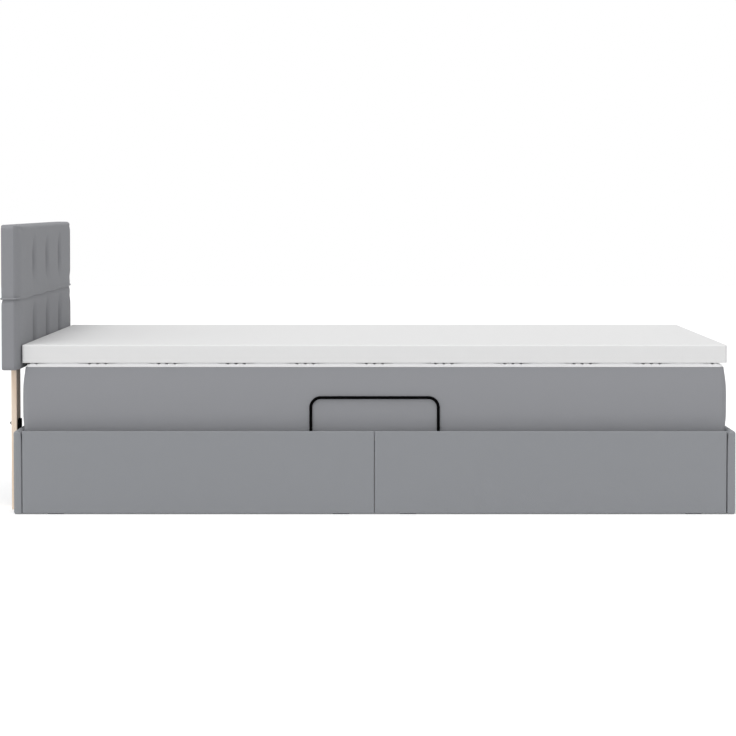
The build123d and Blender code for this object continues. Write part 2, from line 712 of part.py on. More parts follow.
def cushion(length, width, corner, levels):
    """Loft through rounded rectangles: levels hold a height and how far it is drawn in."""
    sections = []
    for z, inset in levels:
        sketch = RectangleRounded(length - 2 * inset, width - 2 * inset, corner - inset / 2)
        sections.append(Pos(x_middle, 0, z) * sketch)
    return loft(sections)


def mattress_border():
    """Sides and core of the mattress: swollen at half height, drawn in at both edges."""
    levels = [(mattress_low + MATTRESS_HIGH * h, MATTRESS_DRAWN_IN * d)
              for h, d in zip(MATTRESS_HEIGHT_SHARES, MATTRESS_DRAWN_SHARES)]
    return cushion(MATTRESS_LENGTH, MATTRESS_WIDTH, MATTRESS_CORNER, levels)


def quilt_seams():
    """Middle X of each sewn channel: groups of three, evenly spread from the middle of the mattress."""
    reach = int((MATTRESS_LENGTH / 2 - MATTRESS_CORNER - QUILT_SEAM_STEP) / QUILT_STEP)
    for group in range(-reach, reach + 1):
        for seam in (-1, 0, 1):
            yield x_middle + group * QUILT_STEP + seam * QUILT_SEAM_STEP


def mattress_top():
    """White quilted top, a low cushion on the border with sewn channels across it."""
    levels = [(mattress_edge, MATTRESS_DRAWN_IN), (mattress_edge + MATTRESS_CAP / 2, MATTRESS_DRAWN_IN),
              (mattress_top_z, MATTRESS_DRAWN_IN + MATTRESS_TOP_ROUND)]
    top = cushion(MATTRESS_LENGTH, MATTRESS_WIDTH, MATTRESS_CORNER, levels)
    half = MATTRESS_WIDTH / 2
    for x in quilt_seams():
        top -= rod_y(-half, half, x, mattress_top_z + QUILT_SEAM_RADIUS - QUILT_SEAM_DEPTH, QUILT_SEAM_RADIUS)
    return top


def topper():
    """Topper with soft round edges, on the mattress."""
    low = mattress_top_z + SEAT_GAP
    levels = [(low + TOPPER_THICK * h, TOPPER_EDGE_ROUND * d)
              for h, d in zip(TOPPER_HEIGHT_SHARES, TOPPER_INSET_SHARES)]
    return cushion(topper_length, topper_width, TOPPER_CORNER, levels)


# Planes of the headboard along X
pad_back = x_head_out - HEADBOARD_BEHIND
pad_front = x_middle - topper_length / 2 - HEADBOARD_CLEAR
leg_front = x_head_out - LEG_PLATE_THICK
leg_back = leg_front - LEG_THICK
board_front = leg_front + BOARD_THICK
welt_z = (headboard_low + headboard_top) / 2


def pad_section(z, front, tuft, inset):
    """Outline of the front pad at one height: side, rounded edge, swollen columns, edge, side."""
    half = headboard_width / 2 - inset
    corner = PAD_EDGE_ROUND
    corner_mid = corner * (1 - math.sqrt(0.5))
    edges = [Line((leg_front, -half, z), (front - corner, -half, z))]
    edges.append(ThreePointArc((front - corner, -half, z), (front - corner_mid, -half + corner_mid, z),
                               (front, -half + corner, z)))
    inner = 2 * (half - corner)
    ends = [-half + corner + inner * i / TUFT_COLUMNS for i in range(TUFT_COLUMNS + 1)]
    for i in range(TUFT_COLUMNS):
        x0 = front - (tuft if i > 0 else 0)
        x1 = front - (tuft if i < TUFT_COLUMNS - 1 else 0)
        middle = front + HEADBOARD_CROWN * (1 + tuft / TUFT_DEPTH) / 2
        edges.append(ThreePointArc((x0, ends[i], z), (middle, (ends[i] + ends[i + 1]) / 2, z), (x1, ends[i + 1], z)))
    edges.append(ThreePointArc((front, half - corner, z), (front - corner_mid, half - corner_mid, z),
                               (front - corner, half, z)))
    edges.append(Line((front - corner, half, z), (leg_front, half, z)))
    edges.append(Line((leg_front, half, z), (leg_front, -half, z)))
    return Face(Wire(edges))


def pad_row(low, high, drawn_low, drawn_high):
    """One row of tufts of the front pad, lofted between two heights."""
    front = pad_front - HEADBOARD_CROWN
    sections = []
    last = len(ROW_HEIGHT_SHARES) - 1
    for i, (h, t) in enumerate(zip(ROW_HEIGHT_SHARES, ROW_TUFT_SHARES)):
        drawn = drawn_low if i == 0 else drawn_high if i == last else 0
        sections.append(pad_section(low + (high - low) * h, front - drawn, TUFT_DEPTH * t, drawn))
    return loft(sections)


def board_pocket():
    """Space that the inner board fills in the pads."""
    half = headboard_width / 2 - BOARD_INSET
    return block(leg_front, board_front, -half, half, headboard_low + BOARD_INSET, headboard_top - BOARD_INSET)


def pad_lower():
    """Lower row, with the core that runs on behind the welt."""
    row = pad_row(headboard_low, welt_z - WELT_HEIGHT / 2, PAD_RIM_DRAW, WELT_DEPTH)
    half = headboard_width / 2 - WELT_DEPTH
    core = block(leg_front, pad_front - HEADBOARD_CROWN - WELT_DEPTH, -half, half,
                 welt_z - WELT_HEIGHT / 2 - WELT_HEIGHT / 4, welt_z + WELT_HEIGHT / 2)
    core = fillet(core.edges().filter_by(Axis.Z).group_by(Axis.X)[-1], PAD_EDGE_ROUND)
    return row + core - board_pocket()


def pad_upper():
    row = pad_row(welt_z + WELT_HEIGHT / 2, headboard_top, WELT_DEPTH, PAD_RIM_DRAW)
    return row - board_pocket()


def leg_places():
    for side in BOTH:
        outer = side * (y_side_out - LEG_INSET)
        inner = outer - side * LEG_WIDTH
        yield side, min(outer, inner), max(outer, inner)


def leg_top():
    return headboard_low + LEG_IN_BOARD


def pad_behind():
    """Back half of the upholstery, with a channel for each leg and the welt's groove."""
    half = headboard_width / 2
    body = block(pad_back, leg_front, -half, half, headboard_low, headboard_top)
    edges = body.edges().filter_by(Axis.Z).group_by(Axis.X)[0] + body.edges().filter_by(Axis.Y).group_by(Axis.X)[0]
    body = fillet(edges, PAD_BACK_ROUND)
    for side, y0, y1 in leg_places():
        body -= block(leg_back, leg_front + OVERRUN, y0, y1, headboard_low - OVERRUN, leg_top())
    groove = block(pad_back - OVERRUN, leg_front + OVERRUN, -half - OVERRUN, half + OVERRUN,
                   welt_z - WELT_HEIGHT / 2, welt_z + WELT_HEIGHT / 2)
    inside = half - WELT_DEPTH
    groove -= block(pad_back + WELT_DEPTH, leg_front + 2 * OVERRUN, -inside, inside,
                    welt_z - WELT_HEIGHT, welt_z + WELT_HEIGHT)
    return body - groove


def welt():
    """Sewn band that runs right round the headboard at half height, round on its outer side."""
    x0 = pad_back - WELT_PROUD
    x1 = pad_front - HEADBOARD_CROWN + WELT_PROUD
    half = headboard_width / 2 + WELT_PROUD
    ring = block(x0, x1, -half, half, welt_z - WELT_HEIGHT / 2, welt_z + WELT_HEIGHT / 2)
    uprights = ring.edges().filter_by(Axis.Z)
    ring = fillet(uprights.group_by(Axis.X)[-1], PAD_EDGE_ROUND + WELT_DEPTH + WELT_PROUD)
    ring = fillet(ring.edges().filter_by(Axis.Z).group_by(Axis.X)[0], PAD_BACK_ROUND)
    rims = ring.faces().filter_by(Axis.Z).edges()
    ring = fillet(rims, WELT_ROUND)
    inside = headboard_width / 2 - WELT_DEPTH
    core = block(pad_back + WELT_DEPTH, pad_front - HEADBOARD_CROWN - WELT_DEPTH, -inside, inside,
                 welt_z - WELT_HEIGHT, welt_z + WELT_HEIGHT)
    core = fillet(core.edges().filter_by(Axis.Z).group_by(Axis.X)[-1], PAD_EDGE_ROUND)
    return ring - core


def inner_board():
    return board_pocket()


def leg_screw_heights():
    middle = headboard_low + LEG_IN_BOARD / 2
    return middle - LEG_SCREW_STEP / 2, middle + LEG_SCREW_STEP / 2


def leg_screws(y0, y1, grow):
    """Screws through a leg into the inner board, with their heads sunk in the leg's back."""
    found = []
    for z in leg_screw_heights():
        y = (y0 + y1) / 2
        shank = rod_x(leg_back, leg_front + LEG_SCREW_DEPTH, y, z, LEG_SCREW_RADIUS + grow)
        head = rod_x(leg_back, leg_back + LEG_SCREW_HEAD_HEIGHT, y, z, LEG_SCREW_HEAD_RADIUS + grow)
        found.append(shank + head)
    return found


def leg(y0, y1):
    """Pale wooden leg from the floor up into the headboard."""
    post = block(leg_back, leg_front, y0, y1, 0, leg_top())
    post = fillet(post.edges().filter_by(Axis.Z), LEG_ROUND)
    for tool in leg_screws(y0, y1, BOLT_CLEAR):
        post -= tool
    for tool in leg_bolt_holes(y0, y1):
        post -= tool
    return post


def leg_bolt_z():
    return BOX_HEIGHT + LEG_BOLT_UP


def leg_bolt_holes(y0, y1):
    y = (y0 + y1) / 2
    return [rod_x(leg_back - OVERRUN, x_head_out, y, leg_bolt_z(), LEG_BOLT_RADIUS + BOLT_CLEAR)]


def leg_plate(y0, y1):
    """Black steel plate between the leg and the head panel, standing a little above the panel."""
    y = (y0 + y1) / 2
    half = LEG_PLATE_WIDTH / 2
    left, right = y - half, y + half
    high = BOX_HEIGHT + LEG_PLATE_UP
    points = [(left, LEG_PLATE_LOW), (right, LEG_PLATE_LOW), (right, high), (left, high)]
    plate = plate_from(points, leg_front, LEG_PLATE_THICK, LEG_PLATE_ROUND)
    for tool in leg_bolt_holes(y0, y1):
        plate -= tool
    sunk = leg_front + LEG_SCREW_HEAD_HEIGHT
    for z in plate_screw_heights():
        plate -= rod_x(leg_front - OVERRUN, x_head_out + OVERRUN, y, z, LEG_SCREW_RADIUS + BOLT_CLEAR)
        plate -= rod_x(leg_front - OVERRUN, sunk, y, z, LEG_SCREW_HEAD_RADIUS + BOLT_CLEAR)
    return plate


def plate_screw_heights():
    high = BOX_HEIGHT - LEG_PLATE_LOW
    return LEG_PLATE_LOW + high / 4, LEG_PLATE_LOW + high / 2, LEG_PLATE_LOW + 3 * high / 4


def plate_screws(y0, y1, grow):
    """Flush screws that hold a plate to the head panel."""
    y = (y0 + y1) / 2
    found = []
    for z in plate_screw_heights():
        shank = rod_x(leg_front, x_head_out + LEG_SCREW_DEPTH, y, z, LEG_SCREW_RADIUS + grow)
        head = rod_x(leg_front, leg_front + LEG_SCREW_HEAD_HEIGHT, y, z, LEG_SCREW_HEAD_RADIUS)
        found.append(shank if grow else shank + head)
    return found


def leg_bolt(y0, y1):
    """Bolt with a low round head on the plate's front, whose thread ends behind the leg."""
    y = (y0 + y1) / 2
    z = leg_bolt_z()
    end = leg_back - LEG_WASHER_THICK - LEG_NUT_THICK - LEG_BOLT_END
    head = rod_x(x_head_out, x_head_out + LEG_BOLT_HEAD_HEIGHT, y, z, LEG_BOLT_HEAD_RADIUS)
    head = fillet(head.edges().filter_by(GeomType.CIRCLE).sort_by(Axis.X)[-1], LEG_BOLT_HEAD_HEIGHT / 2)
    shank = rod_x(end, x_head_out, y, z, LEG_BOLT_RADIUS)
    shank = chamfer(shank.edges().filter_by(GeomType.CIRCLE).sort_by(Axis.X)[0], LEG_BOLT_END / 4)
    return head + shank


def leg_nut(y0, y1):
    """Hexagonal nut on the washer behind the leg."""
    y = (y0 + y1) / 2
    start = leg_back - LEG_WASHER_THICK - LEG_NUT_THICK
    nut = hexagon_x(start, start + LEG_NUT_THICK, y, leg_bolt_z(), LEG_NUT_FLATS)
    return nut - rod_x(start - OVERRUN, start + LEG_NUT_THICK + OVERRUN, y, leg_bolt_z(), LEG_BOLT_RADIUS + PIN_CLEAR)


def leg_washer(y0, y1):
    """Washer between the leg and the nut."""
    y = (y0 + y1) / 2
    ring = rod_x(leg_back - LEG_WASHER_THICK, leg_back, y, leg_bolt_z(), LEG_WASHER_RADIUS)
    return ring - rod_x(leg_back - OVERRUN, leg_back + OVERRUN, y, leg_bolt_z(), LEG_BOLT_RADIUS + PIN_CLEAR)


def build_box():
    """Panels, partition, floor, brackets and rests, with the bolt holes cut in the panels."""
    bolts = []
    tools = []
    for place in bracket_places():
        bolts += bracket_bolts(*place, 0) + cross_bolts(*place, 0)
        tools += bracket_bolts(*place, BOLT_CLEAR) + cross_bolts(*place, BOLT_CLEAR)
    for end in BOTH:
        panel = end_panel(end)
        for tool in [t for t in tools if abs(t.center().X - x_middle) > x_foot_in - x_middle - BRACKET_THICK]:
            panel -= tool
        for tool in lift_screws(end, BOLT_CLEAR):
            panel -= tool
        if end < 0:
            for side, y0, y1 in leg_places():
                for tool in plate_screws(y0, y1, BOLT_CLEAR):
                    panel -= tool
        keep(end_name(end) + "_panel", panel)
    for side in BOTH:
        for end in BOTH:
            panel = side_panel(side, end)
            for tool in [t for t in tools if t.center().Y * side > y_side_in]:
                panel -= tool
            keep("side_panel_" + side_name(side) + "_" + end_name(end), panel)
    board = partition()
    for tool in [t for t in tools if abs(t.center().X - x_middle) < PARTITION_THICK / 2 + BRACKET_THICK]:
        board -= tool
    keep("cross_partition", board)
    keep("floor_battens", *battens())
    for end in BOTH:
        keep("floor_board_" + end_name(end), floor_board(end))
    corner = []
    middle = []
    for place in bracket_places():
        bracket = angle_bracket(*place)
        for tool in bracket_bolts(*place, BOLT_CLEAR) + cross_bolts(*place, BOLT_CLEAR):
            bracket -= tool
        group = corner if abs(place[0] - x_middle) > PARTITION_THICK else middle
        group.append(bracket)
    keep("corner_brackets", *corner)
    keep("seam_brackets", *middle)
    keep("bracket_bolts", *bolts)
    keep("lid_rests", *[rest_block(x, side) for x, side in rest_places()])
    keep("rest_pads", *[rest_pad(x, side) for x, side in rest_places()])
    keep("glides", *glides())


def build_linkage():
    """Both four-bar linkages and their gas struts."""
    for end in BOTH:
        name = end_name(end)
        keep("lift_plate_" + name, lift_plate(end))
        keep("rear_arm_" + name, arm(end, rear_arm_layer, rear_pivot_y, REAR_PIVOT_Z, rear_top_y, REAR_TOP_Z,
                                     PIN_RADIUS + PIN_CLEAR, PIN_RADIUS + PIN_CLEAR))
        keep("front_arm_" + name, arm(end, front_arm_layer, front_pivot_y, FRONT_PIVOT_Z, front_top_y, FRONT_TOP_Z,
                                      PIN_RADIUS + PIN_CLEAR, PIN_RADIUS + LINK_SLACK))
        keep("lid_plate_" + name, lid_plate(end))
        keep("strut_cylinder_" + name, strut_cylinder(end))
        keep("strut_rod_" + name, strut_rod(end))
    screws = []
    base_pins = []
    lid_pins = []
    for end in BOTH:
        screws += lift_screws(end, 0)
        base_pins.append(headed_pin(end, LIFT_PLATE, rear_arm_layer, rear_pivot_y, REAR_PIVOT_Z))
        base_pins.append(headed_pin(end, LIFT_PLATE, front_arm_layer, front_pivot_y, FRONT_PIVOT_Z))
        base_pins.append(strut_pin(end, LIFT_PLATE, strut_foot_y, STRUT_FOOT_Z))
        lid_pins.append(outward_pin(end, rear_top_y, REAR_TOP_Z))
        lid_pins.append(headed_pin(end, rail_layer, front_arm_layer, front_top_y, FRONT_TOP_Z))
        lid_pins.append(strut_pin(end, rail_layer, strut_top_y, STRUT_TOP_Z))
    keep("lift_screws", *screws)
    keep("base_pins", *base_pins)
    keep("lid_pins", *lid_pins)


def build_lid():
    """Lid frame with its slats, the retaining bar, the mattress and the topper."""
    keep("rail_head", tube_y(lid_x_head, lid_x_head + RAIL_WIDE, -lid_half_width, lid_half_width))
    keep("rail_foot", tube_y(lid_x_foot - RAIL_WIDE, lid_x_foot, -lid_half_width, lid_half_width))
    inner_head = lid_x_head + RAIL_WIDE
    inner_foot = lid_x_foot - RAIL_WIDE
    near = tube_x(inner_head, inner_foot, -lid_half_width, -lid_half_width + RAIL_WIDE)
    for x in bar_places():
        near -= rod_y(-lid_half_width - OVERRUN, -lid_half_width + RAIL_WIDE + OVERRUN, x, bar_hook_z(),
                      BAR_RADIUS + BAR_HOLE_CLEAR)
    keep("rail_near", near)
    keep("rail_far", tube_x(inner_head, inner_foot, lid_half_width - RAIL_WIDE, lid_half_width))
    across = lid_half_width - RAIL_WIDE
    third = (inner_foot - inner_head) / 3
    keep("cross_rails", *[tube_y(inner_head + i * third - RAIL_WIDE / 2, inner_head + i * third + RAIL_WIDE / 2,
                                 -across, across) for i in (1, 2)])
    keep("rail_caps", *rail_caps())
    keep("slats", *[slat(x) for x in slat_places()])
    keep("slat_holders", *[slat_holder(x, side) for x in slat_places() for side in BOTH])
    keep("retaining_bar", retaining_bar())
    keep("bar_nuts", *[bar_nut(x) for x in bar_places()])
    keep("mattress_border", mattress_border())
    keep("mattress_top", mattress_top())
    keep("topper", topper())


def build_headboard():
    """Upholstered headboard on its two legs, with plates, bolts and screws."""
    board = inner_board()
    screws = []
    flush = []
    bolts = []
    nuts = []
    washers = []
    for side, y0, y1 in leg_places():
        for tool in leg_screws(y0, y1, BOLT_CLEAR):
            board -= tool
        screws += leg_screws(y0, y1, 0)
        flush += plate_screws(y0, y1, 0)
        bolts.append(leg_bolt(y0, y1))
        nuts.append(leg_nut(y0, y1))
        washers.append(leg_washer(y0, y1))
        keep("headboard_leg_" + side_name(side), leg(y0, y1))
        keep("leg_plate_" + side_name(side), leg_plate(y0, y1))
    keep("headboard_board", board)
    keep("headboard_pad_lower", pad_lower())
    keep("headboard_pad_upper", pad_upper())
    keep("headboard_pad_back", pad_behind())
    keep("headboard_welt", welt())
    keep("leg_screws", *screws)
    keep("plate_screws", *flush)
    keep("leg_bolts", *bolts)
    keep("leg_nuts", *nuts)
    keep("leg_washers", *washers)


build_box()
build_linkage()
build_lid()
build_headboard()

os.makedirs("parts", exist_ok=True)
for name, shape in NODES.items():
    export_step(shape, "parts/" + name + ".step")
print(len(NODES), "pieces written")
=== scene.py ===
# %% [markdown]
# # A storage bed that opens at its side
# This lesson dresses a finished CAD model of a single bed: a fabric-covered box, a mattress with a
# topper, a U-shaped bar at the near side and a tufted headboard on wooden legs.
# The CAD model is loaded first, as a frame that never moves. Hard pieces keep their CAD shape and only
# get a finish. Soft pieces are modelled again here, because foam and cloth have forms that CAD lacks.

# %% Load the frame and note its size
import json
import math

import bpy
import numpy as np
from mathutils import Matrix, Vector, noise


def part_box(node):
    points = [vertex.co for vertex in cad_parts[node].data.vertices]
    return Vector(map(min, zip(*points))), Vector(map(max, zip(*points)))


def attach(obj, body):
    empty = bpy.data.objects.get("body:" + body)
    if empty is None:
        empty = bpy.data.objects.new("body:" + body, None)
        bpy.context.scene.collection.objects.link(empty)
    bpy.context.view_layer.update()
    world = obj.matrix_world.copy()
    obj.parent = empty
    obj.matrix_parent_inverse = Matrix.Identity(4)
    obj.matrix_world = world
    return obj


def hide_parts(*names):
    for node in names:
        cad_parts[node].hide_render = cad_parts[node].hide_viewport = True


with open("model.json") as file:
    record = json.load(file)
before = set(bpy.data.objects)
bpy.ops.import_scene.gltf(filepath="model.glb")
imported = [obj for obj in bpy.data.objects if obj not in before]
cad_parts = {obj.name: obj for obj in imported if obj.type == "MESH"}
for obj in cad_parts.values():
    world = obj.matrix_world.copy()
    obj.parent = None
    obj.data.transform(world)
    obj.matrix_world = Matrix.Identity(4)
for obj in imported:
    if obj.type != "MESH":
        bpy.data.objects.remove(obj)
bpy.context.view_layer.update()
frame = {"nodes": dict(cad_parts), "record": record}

nodes = frame["nodes"]
print("nodes in the frame:", len(nodes))

# %% [markdown]
# ## The camera
# The photograph looks at the near side of the bed from about six metres, a little above the headboard.
# Its upright edges are parallel, so the camera was held nearly level and the picture was shifted.
# A pure shift would also move the bed off centre in every other view. So part of it is made by a small
# tilt, which costs less than a pixel here.

# %% Camera
MM = 0.001
bed_middle_x = (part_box("foot_panel")[1].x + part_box("head_panel")[0].x) / 2
camera_distance = 5.864
camera_height = 0.838
camera_tilt = 1.8

camera_data = bpy.data.cameras.new("camera")
camera_data.sensor_width = 36.0
camera_data.lens = 98.4
camera_data.shift_x = -0.0089
camera_data.shift_y = -0.139
camera = bpy.data.objects.new("camera", camera_data)
camera.location = (bed_middle_x, -camera_distance, camera_height)
camera.rotation_euler = (math.radians(90 - camera_tilt), 0, 0)
bpy.context.scene.collection.objects.link(camera)
bpy.context.scene.camera = camera
print("camera at", tuple(round(c, 3) for c in camera.location))

# %% [markdown]
# ## Helpers for node trees
# Every finish below is a small node tree. A few short helpers keep that readable. The first turns a
# colour as it is seen on a screen into the linear values that the renderer works in, and the next ones
# add a node and set or link its sockets.

# %% Colour and node helpers
def screen_colour(red, green, blue):
    """Linear RGBA of a screen colour, 0 to 255, by the curve that screens use."""
    linear = [((c / 255 + 0.055) / 1.055) ** 2.4 for c in (red, green, blue)]
    return (*linear, 1.0)


def add_node(tree, kind, inputs=None, **settings):
    """Add a node, set its own settings, and set or link its inputs by name or number."""
    node = tree.nodes.new(kind)
    for key, value in settings.items():
        setattr(node, key, value)
    for key, value in (inputs or {}).items():
        socket = node.inputs[key]
        if isinstance(value, bpy.types.NodeSocket):
            tree.links.new(value, socket)
        else:
            socket.default_value = value
    return node


def math_node(tree, operation, a, b=0.0, clamp=False):
    """A Math node's result for one or two values. Its third socket is never used here."""
    return add_node(tree, "ShaderNodeMath", {0: a, 1: b}, operation=operation, use_clamp=clamp).outputs[0]


# A Mix node holds sockets for every kind of data. These are the numbers of the ones for colours.
MIX_FACTOR, MIX_A, MIX_B, MIX_RESULT = 0, 6, 7, 2


def blend_colours(tree, factor, a, b):
    """Mix two colours: a where the factor is 0, and b where it is 1."""
    sockets = {MIX_FACTOR: factor, MIX_A: a, MIX_B: b}
    return add_node(tree, "ShaderNodeMix", sockets, data_type="RGBA").outputs[MIX_RESULT]


print("half grey on a screen is", round(screen_colour(128, 128, 128)[0], 3), "in linear values")

# %% [markdown]
# ## Helpers for groups and materials
# An effect that several finishes share is a group: a small tree with named inputs and outputs, placed in
# each material with its own values. The shader itself stays in the material. Patterns are laid out by
# the place on the object, which doesn't slide when the object moves.

# %% Group and material helpers
def new_group(name, inputs, outputs):
    """An empty shader group with named inputs and outputs. Returns the tree and its two end nodes."""
    tree = bpy.data.node_groups.new(name, "ShaderNodeTree")
    for socket_name, socket_type, value in inputs:
        socket = tree.interface.new_socket(socket_name, in_out="INPUT", socket_type=socket_type)
        if value is not None:
            socket.default_value = value
    for socket_name, socket_type in outputs:
        tree.interface.new_socket(socket_name, in_out="OUTPUT", socket_type=socket_type)
    return tree, tree.nodes.new("NodeGroupInput"), tree.nodes.new("NodeGroupOutput")


def use_group(tree, group, inputs):
    """Place a group in a tree and set or link its inputs."""
    return add_node(tree, "ShaderNodeGroup", inputs, node_tree=group)


def new_material(name, **constants):
    """A material with a Principled shader whose constants are set on its own sockets."""
    material = bpy.data.materials.new(name)
    material.use_nodes = True
    shader = material.node_tree.nodes["Principled BSDF"]
    for key, value in constants.items():
        shader.inputs[key.replace("_", " ")].default_value = value
    return material, material.node_tree, shader


def bump_into(tree, shader, height, distance):
    """Bump from a height, in metres of relief, into a shader's normal."""
    bump = add_node(tree, "ShaderNodeBump", {"Height": height, "Distance": distance})
    tree.links.new(bump.outputs["Normal"], shader.inputs["Normal"])


def object_place(tree):
    """Place on the object in metres."""
    return tree.nodes.new("ShaderNodeTexCoord").outputs["Object"]


def surface_normal(tree):
    """Direction of the face on the object itself."""
    return tree.nodes.new("ShaderNodeTexCoord").outputs["Normal"]


print("material helpers ready")

# %% [markdown]
# ## Weave
# Panels, mattress, topper and headboard are all covered with cloth, so the weave is one group. Threads
# are drawn in the plane that the face looks along, picked by its normal, so no unwrapping is needed.
# Warp and weft pass over each other: the height is the product of two waves, and a slower noise makes
# some threads thicker, as they are in real yarn. The covers are dyed in one even tone, so the group puts
# out a relief only.

# %% Weave group
PLANE_POWER = 4.0
WAVE_SHARE = 0.5
NOISE_MIDDLE = 0.5


def plane_pattern(tree, place, first, second, threads):
    """Product of two waves along two axes: the over and under of a plain weave."""
    parts = add_node(tree, "ShaderNodeSeparateXYZ", {0: place})
    waves = []
    for axis in (first, second):
        turns = math_node(tree, "MULTIPLY", parts.outputs[axis], threads)
        angle = math_node(tree, "MULTIPLY", turns, 2 * math.pi)
        waves.append(math_node(tree, "SINE", angle))
    return math_node(tree, "MULTIPLY", waves[0], waves[1])


def make_weave_group():
    tree, start, end = new_group(
        "Weave",
        [("Place", "NodeSocketVector", None), ("Normal", "NodeSocketVector", None),
         ("Threads per metre", "NodeSocketFloat", 500.0), ("Slub", "NodeSocketFloat", 0.4)],
        [("Height", "NodeSocketFloat")])
    place = start.outputs["Place"]
    threads = start.outputs["Threads per metre"]
    faces = add_node(tree, "ShaderNodeSeparateXYZ", {0: start.outputs["Normal"]})
    total = None
    for axis, first, second in ((0, 1, 2), (1, 0, 2), (2, 0, 1)):
        facing = math_node(tree, "ABSOLUTE", faces.outputs[axis])
        share = math_node(tree, "POWER", facing, PLANE_POWER)
        part = math_node(tree, "MULTIPLY", plane_pattern(tree, place, first, second, threads), share)
        total = part if total is None else math_node(tree, "ADD", total, part)
    slub = add_node(tree, "ShaderNodeTexNoise", {"Vector": place, "Scale": 240.0, "Detail": 2.0})
    thick = math_node(tree, "SUBTRACT", slub.outputs["Fac"], NOISE_MIDDLE)
    uneven = math_node(tree, "MULTIPLY", thick, start.outputs["Slub"])
    height = math_node(tree, "ADD", math_node(tree, "MULTIPLY", total, WAVE_SHARE), uneven)
    tree.links.new(height, end.inputs["Height"])
    return tree


weave_group = make_weave_group()
print("group made:", weave_group.name)

# %% [markdown]
# ## Cloth
# Three things make a surface look like cloth: its weave, a weak glow of the short pile at grazing angles,
# which the shader calls sheen, and almost no gloss. On the headboard the colour is also darkened towards
# a grey at the seams and low on the lower row: painted shade. The headboard's mesh carries that painted
# shade as a value at each point, and the material reads the value.

# %% Cloth materials
# Painted shade: the grey that the headboard's colour is darkened towards, and the mesh value that says how
# far.
PAINTED_SHADE_ATTRIBUTE = "painted_shade"
PAINTED_SHADE_TONE = screen_colour(84, 84, 87)


def cloth(name, colour, threads, relief, sheen, seam_shade=0.0):
    """Woven cloth of one tone. With a seam shade, the mesh's painted shade value darkens the colour towards
    a grey.
    """
    material, tree, shader = new_material(name, Base_Color=colour, Roughness=0.92, Sheen_Weight=sheen,
                                          Sheen_Roughness=0.6, Specular_IOR_Level=0.2)
    if seam_shade:
        # Painted shade: darken the colour towards the grey by the mesh's value, in the creases and low
        # down.
        painted_shade_mask = add_node(tree, "ShaderNodeAttribute", attribute_name=PAINTED_SHADE_ATTRIBUTE).outputs["Fac"]
        depth = math_node(tree, "MULTIPLY", painted_shade_mask, seam_shade, clamp=True)
        tree.links.new(blend_colours(tree, depth, colour, PAINTED_SHADE_TONE), shader.inputs["Base Color"])
    weave = use_group(tree, weave_group, {"Place": object_place(tree), "Normal": surface_normal(tree),
                                          "Threads per metre": threads})
    bump_into(tree, shader, weave.outputs["Height"], relief)
    return material


finishes = {
    "panel_fabric": cloth("panel fabric", screen_colour(148, 150, 154),
                          threads=420.0, relief=0.35 * MM, sheen=0.08),
    "headboard_fabric": cloth("headboard fabric", screen_colour(147, 148, 152),
                              threads=420.0, relief=0.35 * MM, sheen=0.08, seam_shade=0.34),
    "mattress_grey": cloth("mattress border fabric", screen_colour(149, 150, 154),
                           threads=520.0, relief=0.25 * MM, sheen=0.08),
    "mattress_white": cloth("quilted knit", screen_colour(252, 252, 253),
                            threads=600.0, relief=0.2 * MM, sheen=0.03),
    "topper_white": cloth("topper knit", screen_colour(232, 232, 232),
                          threads=600.0, relief=0.2 * MM, sheen=0.03),
}
print("cloth finishes:", sorted(finishes))

# %% [markdown]
# ## Wood grain
# The headboard legs, the slats, the battens and the boards are all wood, cut differently. One group
# draws long fibres by stretching a noise along the piece, and growth rings by a distorted wave. Each
# wood sets the stretch, the size of the rings and how strongly they show.

# %% Grain group
def make_grain_group():
    tree, start, end = new_group(
        "Grain",
        [("Place", "NodeSocketVector", None), ("Stretch", "NodeSocketVector", (1.0, 1.0, 1.0)),
         ("Ring scale", "NodeSocketFloat", 30.0), ("Ring share", "NodeSocketFloat", 0.5)],
        [("Tone", "NodeSocketFloat"), ("Height", "NodeSocketFloat")])
    place, stretch, share = (start.outputs[name] for name in ("Place", "Stretch", "Ring share"))
    scaled = add_node(tree, "ShaderNodeVectorMath", {0: place, 1: stretch}, operation="MULTIPLY")
    stretched = scaled.outputs[0]
    fibre = add_node(tree, "ShaderNodeTexNoise", {"Vector": stretched, "Scale": 9.0, "Detail": 6.0,
                                                  "Roughness": 0.62}).outputs["Fac"]
    bend = add_node(tree, "ShaderNodeTexNoise", {"Vector": stretched, "Scale": 1.6, "Detail": 1.0})
    bent = add_node(tree, "ShaderNodeVectorMath", {0: bend.outputs["Color"], 1: stretched}, operation="ADD")
    rings = add_node(tree, "ShaderNodeTexWave",
                     {"Vector": bent.outputs[0], "Scale": start.outputs["Ring scale"],
                      "Distortion": 2.2, "Detail": 2.0}, bands_direction="DIAGONAL")
    ring_part = math_node(tree, "MULTIPLY", rings.outputs["Fac"], share)
    fibre_part = math_node(tree, "MULTIPLY", fibre, math_node(tree, "SUBTRACT", 1.0, share))
    tone = math_node(tree, "ADD", ring_part, fibre_part, clamp=True)
    tree.links.new(tone, end.inputs["Tone"])
    tree.links.new(fibre, end.inputs["Height"])
    return tree


grain_group = make_grain_group()
print("group made:", grain_group.name)

# %% [markdown]
# ## Three woods
# The legs are pale solid wood with a fine upright grain. The slats are bent from thin layers, which
# gives long even streaks across the bed and a little more gloss. The battens are raw and coarser.

# %% Wood materials
WOOD_RELIEF = 0.15 * MM


